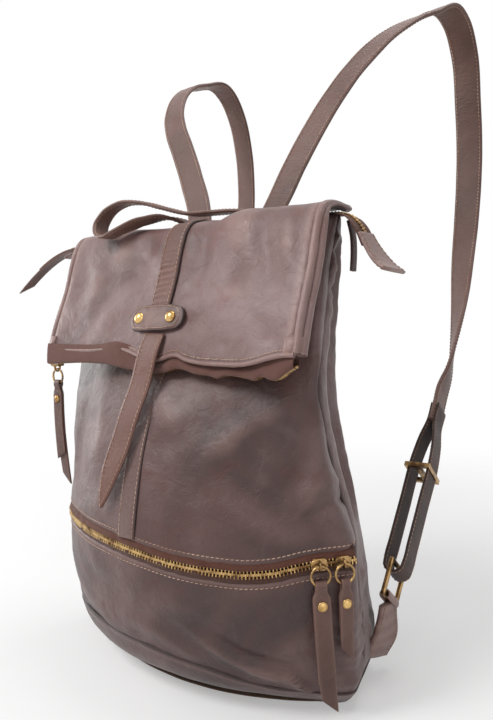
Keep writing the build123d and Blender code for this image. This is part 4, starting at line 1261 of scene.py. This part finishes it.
def makeHemZip():
    x = np.linspace(-147, 147, 240)
    wave = 1.5 * wander(np.stack([x, x * 0, x * 0], -1), 13, 2) * ease(x, -62, -40)
    low = tapeLowAt(x)
    hem = 296 + hemAt(x)
    hemY = -80.2 - hemAt(x) * 0.33
    fold = 5.4
    for name, sign in (("front", -1), ("back", 1)):
        base = -76.2 + sign * fold
        if sign < 0:
            rows = [np.stack([x, hemY + 2.6, hem + 6.0], -1), np.stack([x, hemY + 1.4, hem + 0.5], -1),
                    np.stack([x, base + 0.4 + wave * 0.6, (hem + low) / 2 + 1], -1),
                    np.stack([x, base + wave, low + 2.0], -1),
                    np.stack([x, base + 0.9 + wave, low + 0.3], -1),
                    np.stack([x, base + 2.2 + wave * 0.5, low + 0.2], -1),
                    np.stack([x, np.full(240, -76.2 - 2.7), low + 0.9], -1)]
            points = np.array(rows[::-1])
        else:
            rows = [np.stack([x, np.full(240, -76.2 + 2.7), low + 0.9], -1),
                    np.stack([x, np.full(240, base - 1.6), low + 0.4], -1),
                    np.stack([x, np.full(240, base - 0.4), low + 1.6], -1),
                    np.stack([x, np.full(240, base - 0.2), np.maximum(hem, low + 6) - 3], -1)]
            points = np.array(rows)[:, ::-1]
        normals = gridNormals(points)
        probe = normals[points.shape[0] // 2, 120]
        if probe[1] * sign < 0:
            points = points[:, ::-1]
            normals = gridNormals(points)
        shade = np.full(points.shape[:2], 0.08)
        makeSheet("hem_tape_" + name, points, normals, 0.7, tapeLight, "flap", {"shade": shade},
                  stands=["flap_zip_tape"])
    line = np.stack([x, x * 0 - 76.2, low + 0.9], -1)
    makeTeeth("hem_teeth", line[::-1], np.tile(vec(0, 0, -1), (240, 1)), "flap", ["flap_zip_teeth"],
              pitch=2.8)
    sliderAt = (-138.0, -76.2, 286.7)
    faceDown = lambda p: vec(p[0] + sliderAt[0], sliderAt[1] - p[2], p[1] + sliderAt[2])
    makeSlider("hem_slider_body", faceDown, "flap_zip_slider", ["flap_zip_slider"])
    hung = lambda p: p + vec(sliderAt[0], sliderAt[1], sliderAt[2] - bailPivot)
    makeRing("flap_zip", hung)
    makePull("flap_zip", lambda p: hung(p + vec(0, 0, -pullDrop)))
    print("hem zip made")


tapeLight = makeCloth("tape_pale", (140, 96, 84), (98, 64, 56), 380.0)


closure = {"width": 24.0, "thick": 3.0, "keeper": (0, -69.1, 325.4), "size": (64.0, 25.0)}


def makeClosure():
    share = np.linspace(0.0, 0.80, 90)
    across = np.array([-1, -0.965, -0.87, -0.55, -0.2, 0.2, 0.55, 0.87, 0.965, 1])
    half = closure["width"] / 2
    grid, where = np.meshgrid(across * half, share[::-1])
    points, out = flapPoint(grid, where, lift=0.2)
    run = where * flapLength
    wrinkle = 0.55 * np.sin(run * 1.15 + 2.4 * wander(np.stack([grid, run, run * 0], -1), 14, 6)) \
        * (bell(run, 100, 26) * 0.9 + 0.25) * ease(half - np.abs(grid), 1.2, 5)
    edge = half - np.abs(grid)
    drop = 1.3 * np.exp(-(edge / 0.9) ** 2)
    top = points + out * (closure["thick"] + wrinkle - drop)[..., None]
    # lighter on the wrinkle crests: wear plus painted highlight
    wear = np.clip(ease(wrinkle, 0.1, 0.55) * 0.5, 0, 1)
    shade = 0.85 * np.exp(-(edge / 0.8) ** 2)
    makeSheet("closure_band", top, gridNormals(top), 2.7, closureLeather, "flap",
              {"wear": wear, "shade": shade},
              stands=["closure_strap"])
    for s in (-1, 1):
        line, away = flapPoint(np.full(90, s * (half - 2.4)), share, lift=closure["thick"] + 0.15)
        stitch("stitches_closure:flap", line[:-4], away[:-4])

    # the loose tail
    tail = [(2, -76.0, 312.6), (1, -84.8, 296), (-3, -93.5, 268), (-9, -105, 236), (-17, -114.5, 204),
            (-24.5, -120.6, 178), (-27.5, -123, 167)]
    length = along(tail)[-1]
    taper = through([(0, 24), (length * 0.5, 24), (length * 0.74, 22.5), (length * 0.86, 17),
                     (length * 0.95, 9.5),
                     (length, 3.5)])
    makeStrap("tail_band", tail, (1, 0, 0), 24, 2.5, closureLeather, "tail", widths=taper, step=1.8,
              stitchIn=("stitches_tail:tail", 2.4), stands=["closure_tail"], crown=0.5,
              lift=lambda s, c: 0.5 * np.sin(s * 0.11),
              marks={"wear": lambda s, c: 0.15 + 0.25 * bell(s, 10, 12)})

    # oval keeper, its sewn border and two domed rivets
    down = unit(vec(0, -12.5, -32))
    out = vec(0, down[2], -down[1])
    centre = vec(*closure["keeper"])
    a, b = closure["size"][0] / 2, closure["size"][1] / 2

    def rim(angle, share):
        c, s = np.cos(angle), np.sin(angle)
        x = (a - b) * np.sign(c) * np.minimum(np.abs(c) * 1.6, 1) + b * c
        return np.stack([x * share, b * s * share * (1 - 0.06 * bell(x, 0, 9))], -1)

    angles = np.linspace(0, 2 * math.pi, 97)[:-1]

    def keeperLift(x, y, share):
        return 5.5 - 1.5 * ease(np.abs(x), 13, 27) - 1.0 * ease(share, 0.86, 1.0) + 0.35 * bell(x, 0, 8) \
            + 0.25 * np.sin(x * 0.6 + y * 0.3)

    def onKeeper(flat, lift):
        return (centre + np.outer(flat[:, 0], vec(1, 0, 0)) - np.outer(flat[:, 1], down)
                + np.outer(lift, out))

    points, faces, marks = [centre + out * 5.6], [], [0.0]
    shares = [0.25, 0.5, 0.7, 0.84, 0.92, 0.97, 1.0]
    for share in shares:
        flat = rim(angles, share)
        lift = keeperLift(flat[:, 0], flat[:, 1], share)
        points += list(onKeeper(flat, lift))
        marks += [share] * 96
    for share, fall in ((1.01, 1.2), (0.995, 2.4), (0.96, 2.9)):
        flat = rim(angles, share)
        lift = np.maximum(keeperLift(flat[:, 0], flat[:, 1], 1.0) - fall, 0.3)
        points += list(onKeeper(flat, lift))
        marks += [share] * 96
    for j in range(96):
        q = (j + 1) % 96
        faces.append([0, 1 + j, 1 + q])
        for r in range(len(shares) + 2):
            faces.append([1 + r * 96 + j, 1 + r * 96 + 96 + j, 1 + r * 96 + 96 + q, 1 + r * 96 + q])
    faces.append([1 + (len(shares) + 2) * 96 + j for j in range(96)][::-1])
    marks = np.array(marks)
    makeObject("keeper_oval", points, faces, tabLeather, "flap", uv=np.array(points)[:, [0, 2]],
               marks={"shade": 0.8 * ease(marks, 0.955, 1.0), "wear": 0.3 * (1 - ease(marks, 0.2, 0.9))},
               stands=["strap_keeper"])
    flat = rim(np.append(angles, angles[0]), 0.86)
    lift = keeperLift(flat[:, 0], flat[:, 1], 0.86) + 0.1
    line = onKeeper(flat, lift)
    stitch("stitches_closure:flap", line, np.tile(out, (len(line), 1)), pitch=3.4, size=0.9)
    parts = []
    for side in (-1, 1):
        foot = centre + vec(side * 19, 0, 0) + out * 4.75
        parts.append(lathe([(5.1, -0.9), (5.4, 0.1), (5.2, 0.8), (4.6, 1.7), (3.6, 2.5), (2.3, 3.1),
                            (1.0, 3.35),
                            (0.2, 3.4)], foot, out, 32))
        parts.append(lathe([(2.6, -4.4), (2.6, -0.5)], foot, out, 16))
    points, faces = joined(parts)
    sharpen(makeObject("keeper_domes", points, faces, brassDome, "flap", stands=["keeper_rivets"]), 50)
    print("closure made")


straps = {
    "handle": [(64, 11, 414), (52, 7, 420), (34, 3, 423), (12, 0, 424.5), (-12, -5, 426), (-38, -13, 434),
               (-62, -20, 442), (-84, -26, 443.5), (-100, -31, 436), (-105, -37, 424), (-98, -44, 413),
               (-84, -48, 408.5), (-69, -46, 413), (-53, -29, 422), (-40, -10, 425.5), (-28, 4, 421),
               (-20, 12, 415)],
    "turning": [0, 0, 0, 0.15, 0.4, 0.7, 0.9],
    "rise": [(166, 196, 254), (165, 222, 300), (164, 256, 372), (163, 280, 440), (163, 292, 505),
             (163, 292, 565),
             (164, 281, 612), (163, 258, 640), (160, 230, 647)],
    "right": [(148, 204, 636), (133, 177, 622), (117, 155, 603), (100, 136, 577), (85, 117, 548),
              (69, 98, 513),
              (53, 80, 473), (42, 61, 433), (38, 45, 411), (35.4, 34.5, 393)],
    "left": [(166, 206, 642), (167, 178, 632), (163, 154, 613), (153, 133, 586), (136, 116, 558),
             (111, 99, 524),
             (84, 80, 484), (58, 61, 443), (44, 45, 413), (38.4, 34.5, 393)],
    "ring": vec(164, 44, 82),
    "up": unit(vec(0, 0.664, 0.748)),
    "across": unit(vec(0, 0.748, -0.664)),
}


def makeHandle():
    route = straps["handle"]
    # lighter all along, and most round the loop at the left end: wear plus painted highlight
    wearAndLoopHighlight = lambda s, c: 0.2 + 0.2 * bell(c[:, 0], -90, 30)
    makeStrap("handle_band", route, (0, 1, 0.0), 18, 3.0, strapLeather, "handle", step=1.8,
              stitchIn=("stitches_handle:handle", 2.2), stands=["handle"], crown=0.8,
              marks={"wear": wearAndLoopHighlight, "wrinkle": lambda s, c: 0.5 + 0 * s})
    print("handle made")


def makeStraps():
    up, across, ring = straps["up"], straps["across"], straps["ring"]
    foot = ring + up * 15
    start = [tuple(foot + up * s) for s in (151, 172, 190)]
    for side, name in ((1, "right"), (-1, "left")):
        flip = vec(side, 1, 1)
        route = np.array(start + straps["rise"] + straps[name]) * flip
        shares = straps["turning"] + [1] * (len(route) - len(straps["turning"]))
        sides = [across * (1 - k) * flip + vec(-side, 0, 0) * k for k in shares]
        if side < 0:
            sides = [-s for s in sides]
        total = along(route)[-1]
        made = makeStrap(name + "_strap_band", route, sides, 30, 3.8, strapLeather, None, step=2.2,
                         stitchIn=("stitches_" + name + "_strap:" + name + "_strap", 2.6),
                         stands=[name + "_shoulder_strap"], crown=0.9,
                         lift=lambda s, c: 0.8 * np.sin(s * 0.035) + 0.5 * wander(c, 30, 3),
                         marks={"wear": lambda s, c: 0.12 + 0.22 * np.clip(wander(c, 60, 5), 0, 1),
                                "wrinkle": lambda s, c, total=total: ease(s, total - 560, total - 380)})
        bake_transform(made)

        # two lower strands round the ring's top bar
        top = ring + up * 15
        bend = [(3.3, 171), (3.3, 150), (6.6, 132), (8.7, 112), (8.9, 60), (8.8, 20), (8.7, 2), (7.5, -4.6),
                (4.2, -7.7), (0, -8.9), (-4.2, -7.7), (-7.5, -4.6), (-8.7, 2), (-8.8, 20), (-8.9, 60),
                (-8.7, 112),
                (-6.6, 132), (-3.3, 150), (-3.3, 171)]
        path = [(top + up * u) * flip + vec(x, 0, 0) for x, u in bend]
        makeStrap(name + "_strands", path, across * flip, 26, 2.3, suede, name + "_strap", step=2.0,
                  stitchIn=("stitches_" + name + "_strap:" + name + "_strap", 2.4),
                  stands=[name + "_lower_strap"], crown=0.5,
                  marks={"wear": lambda s, c: 0.1 + 0 * s})

        # side tab folded round the lower bar
        low = ring - up * 15
        tab = [low - up * 3, vec(161.5, 31.5, 51), vec(158, 33, 36), vec(152, 33.4, 22), vec(149, 33, 16)]
        tab = [np.array(p) * flip for p in tab]
        makeStrap(name + "_tab_band", tab, across * flip, 30, 5.0, tabLeather, "bag", step=1.6,
                  widths=through([(0, 27), (18, 31), (34, 35), (52, 31)]), crown=0.6,
                  stitchIn=("stitches_tabs:bag", 3.4), stands=[name + "_side_tab"],
                  marks={"wear": lambda s, c: 0.25 + 0.2 * np.sin(s * 0.5)})
        loop = [low * flip + (up * math.cos(a) * 4.2 + vec(side, 0, 0) * math.sin(a) * 4.2)
                for a in np.linspace(-2.3, 2.3, 15)]
        makeStrap(name + "_tab_fold", loop, across * flip, 25, 1.9, tabLeather, "bag", step=0.9,
                  crown=0.3, marks={"wear": lambda s, c: 0.5 + 0 * s})
    # yoke that carries both straps
    lean = unit(vec(0, -18, 39))
    out = vec(0, lean[2], -lean[1])
    middle = vec(0, 21, 384.5) + out * 3.0
    gx, gz = np.meshgrid(np.linspace(62, -62, 50), np.linspace(-18, 18, 20))
    corner = ease(np.abs(gx), 48, 62) * 4.5 * (np.abs(gz) / 18) ** 3 * np.sign(gz)
    points = middle + gx[..., None] * vec(1, 0, 0) + (gz - corner)[..., None] * lean
    swell = 1.6 * (bell(np.abs(gx), 36, 18) * bell(gz, 0, 16))
    points = points + out * (swell + 0.3 * wander(points, 12, 6))[..., None]
    normals = gridNormals(points)
    if normals[10, 25, 1] < 0:
        points = points[:, ::-1]
        normals = gridNormals(points)
    edge = np.min([edgeRuns(points)[k] for k in ("left", "right", "low", "high")], axis=0)
    tucked = points - normals * (0.8 * np.exp(-(edge / 1.2) ** 2))[..., None]
    makeSheet("yoke_patch", tucked, normals, 2.6, bodyLeather, "bag",
              {"shade": 0.5 * np.exp(-(edge / 0.9) ** 2), "wear": 0.5 * np.exp(-((edge - 2) / 1.2) ** 2)},
              stands=["back_yoke"])
    for sideName in ("low", "high", "left", "right"):
        line, away = lineAt(points, normals, 3.4, sideName)
        stitch("stitches_yoke:bag", line + away * 0.1, away)
    print("straps made")


def makeFrontStrip():
    z = np.linspace(141, 292, 90)
    rows = []
    for h in z:
        low = 139.5 + float(zipRise(0.0, -120.0)) + 0.5
        h = max(h, low)
        y = levelAt(h)[2]
        x = np.array([-1, -0.94, -0.8, -0.4, 0, 0.4, 0.8, 0.94, 1]) * 10
        drop = np.array([1.1, 0.35, 0.05, 0, 0, 0, 0.05, 0.35, 1.1])
        w, cornerY, frontY = levelAt(h)[:3]
        radius = (w * w + (cornerY - frontY) ** 2) / (2 * (cornerY - frontY))
        bulge = radius - np.sqrt(radius ** 2 - x ** 2)
        rows.append(np.stack([x, np.full(9, y - 1.55) + drop + bulge, np.full(9, h)], -1))
    points = np.array(rows)
    normals = gridNormals(points)
    edge = 10 - np.abs(points[..., 0])
    shade = 0.8 * np.exp(-(edge / 0.8) ** 2)
    makeSheet("front_strip", points, normals, 1.5, bodyLeather, "bag",
              {"shade": shade, "wear": 0.3 * (1 - shade)},
              stands=["front_center_strip"])
    for sideName in ("left", "right"):
        line, away = lineAt(points, normals, 2.4, sideName)
        stitch("stitches_strip:bag", line[1:], away[1:])


def makeLinings():
    for name, gap, low, high, left, right, stands in (
            ("lining_bag", 5.2, 5.0, 402.0, -1.0, 5.0, "body_lining"),
            ("lining_pocket", 12.5, 8.0, 132.0, -0.86, 0.86, "pocket_lining")):
        rows = []
        columns = 150 if left == -1.0 else 60
        for h in np.linspace(low, high, 90 if left == -1.0 else 36):
            row = wallRow(max(h, 3), np.linspace(left, right, columns))
            inward = unit(np.gradient(row, axis=0)[:, [1, 0, 2]] * vec(1, -1, 0))
            deep = gap + (15.0 if (name == "lining_bag" and h < 138) else 0) * ease(-row[:, 1], 20, 60)
            drape = 1.2 * wander(row, 30, 41)
            moved = row - inward * (deep + drape * 0.6 * ease(h, 402, 380))[:, None]
            moved[:, 2] = h
            rows.append(moved)
        points = np.array(rows)
        makeSheet(name, points, gridNormals(points), 0.8, liningCloth, "bag", stands=[stands])
    # floor of the lining
    ring = wallRow(14, np.linspace(-1, 5, 121))
    rows = [vec(0, -8, 4.6) + (ring - vec(0, -8, 14)) * v * vec(1, 1, 0) for v in (0.0, 0.2, 0.4, 0.6,
                                                                                   0.8, 0.90)]
    points = np.array(rows)
    points[..., 2] += 0.6 * wander(points, 30, 2)
    normals = gridNormals(points)
    if normals[3, 60, 2] < 0:
        points = points[:, ::-1]
        normals = gridNormals(points)
    makeSheet("lining_floor", points, normals, 0.8, liningCloth, "bag")
    print("linings made")


def dressMetal():
    kept = {"right_strap_ring": brassWorn, "left_strap_ring": brassWorn, "right_strap_slide": brassWorn,
            "left_strap_slide": brassWorn, "front_magnet": steel, "tail_magnet": steel}
    for name, finish in kept.items():
        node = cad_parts[name]
        node.data.materials.clear()
        node.data.materials.append(finish)


stageLook = {
    "camera": (394.78, -467.74, 317.83),
    "right": (0.800526795, 0.597746691, -0.0430783405),
    "down": (-0.000145153562, -0.0716880665, -0.997427090),
    "forward": (-0.599296946, 0.798473365, -0.0573014531),
    "lens": 31.39,
    # name, place, aimed at, size in m, power in W
    "lamps": [("key", (-0.6, -1.3, 1.7), (0, 0, 0.25), 0.9, 26),
              ("side", (-1.6, -0.2, 0.6), (0, 0, 0.15), 0.8, 9),
              ("fill", (1.6, -0.9, 0.8), (0, 0, 0.3), 1.4, 3),
              ("top", (0.3, 0.4, 1.9), (0, 0, 0.3), 0.9, 9)],
    "sky": 0.30,
}


def whiteToCamera(tree, plain, glowKind, output, share=None):
    # mixes white over the plain socket for camera, glossy and transmission rays
    path = tree.nodes.new("ShaderNodeLightPath")
    glow = tree.nodes.new(glowKind)
    glow.inputs["Strength"].default_value = 1.0
    glow.inputs["Color"].default_value = (1, 1, 1, 1)
    mixed = tree.nodes.new("ShaderNodeMixShader")
    seen = Sig(tree, path.outputs["Is Camera Ray"]) + Sig(tree, path.outputs["Is Glossy Ray"]) \
        + Sig(tree, path.outputs["Is Transmission Ray"])
    if share is not None:
        seen = seen * share
    tree.links.new(seen.socket, mixed.inputs[0])
    tree.links.new(plain, mixed.inputs[1])
    tree.links.new(glow.outputs[0], mixed.inputs[2])
    tree.links.new(mixed.outputs[0], output.inputs["Surface"])


def makeStage():
    scene = bpy.context.scene
    scene.view_settings.view_transform = "Standard"
    look = Matrix((stageLook["right"], [-v for v in stageLook["down"]],
                   [-v for v in stageLook["forward"]])).transposed()
    cameraData = bpy.data.cameras.new("camera")
    cameraData.lens, cameraData.sensor_width = stageLook["lens"], 36.0
    camera = bpy.data.objects.new("camera", cameraData)
    camera.matrix_world = Matrix.Translation(Vector(stageLook["camera"]) * mm) @ look.to_4x4()
    scene.collection.objects.link(camera)
    scene.camera = camera
    for name, place, aim, size, power in stageLook["lamps"]:
        lampData = bpy.data.lights.new(name, "AREA")
        lampData.shape, lampData.size, lampData.energy = "DISK", size, power
        lamp = bpy.data.objects.new(name, lampData)
        lamp.location = place
        lamp.rotation_euler = (Vector(aim) - Vector(place)).to_track_quat("-Z", "Y").to_euler()
        scene.collection.objects.link(lamp)
    world = bpy.data.worlds.new("studio")
    world.use_nodes = True
    scene.world = world
    tree = world.node_tree
    soft = tree.nodes["Background"]
    soft.inputs["Color"].default_value = (1, 1, 1, 1)
    soft.inputs["Strength"].default_value = stageLook["sky"]
    whiteToCamera(tree, soft.outputs[0], "ShaderNodeBackground", tree.nodes["World Output"])

    mesh = bpy.data.meshes.new("floor")
    mesh.from_pydata([(-6, -6, -0.0005), (6, -6, -0.0005), (6, 6, -0.0005), (-6, 6, -0.0005)], [],
                     [(0, 1, 2, 3)])
    floor = bpy.data.objects.new("floor", mesh)
    scene.collection.objects.link(floor)
    pale = Finish("pale_floor")
    grain = pale.grain(pale.place(), 6.0, 2.0)
    colour = pale.blend(grain * 0.2, (0.93, 0.93, 0.93, 1), (0.89, 0.89, 0.89, 1))
    pale.done(Base_Color=colour, Roughness=0.7, Specular_IOR_Level=0.1)
    away = pale.node("VectorMath", {"operation": "LENGTH"}, {0: pale.place()}, out="Value")
    whiteToCamera(pale.tree, pale.shader.outputs[0], "ShaderNodeEmission",
                  pale.tree.nodes["Material Output"], 0.35 + 0.65 * pale.step(away, 0.30, 1.1))
    mesh.materials.append(pale.material)
    print("stage made")


makeStage()
makeSack()
makeFrontStrip()
makePocketZip()
makeMainZip()
makeFlap()
makeHemZip()
makeClosure()
makeHandle()
makeStraps()
makeLinings()
finishStitches(threadTan)
dressMetal()
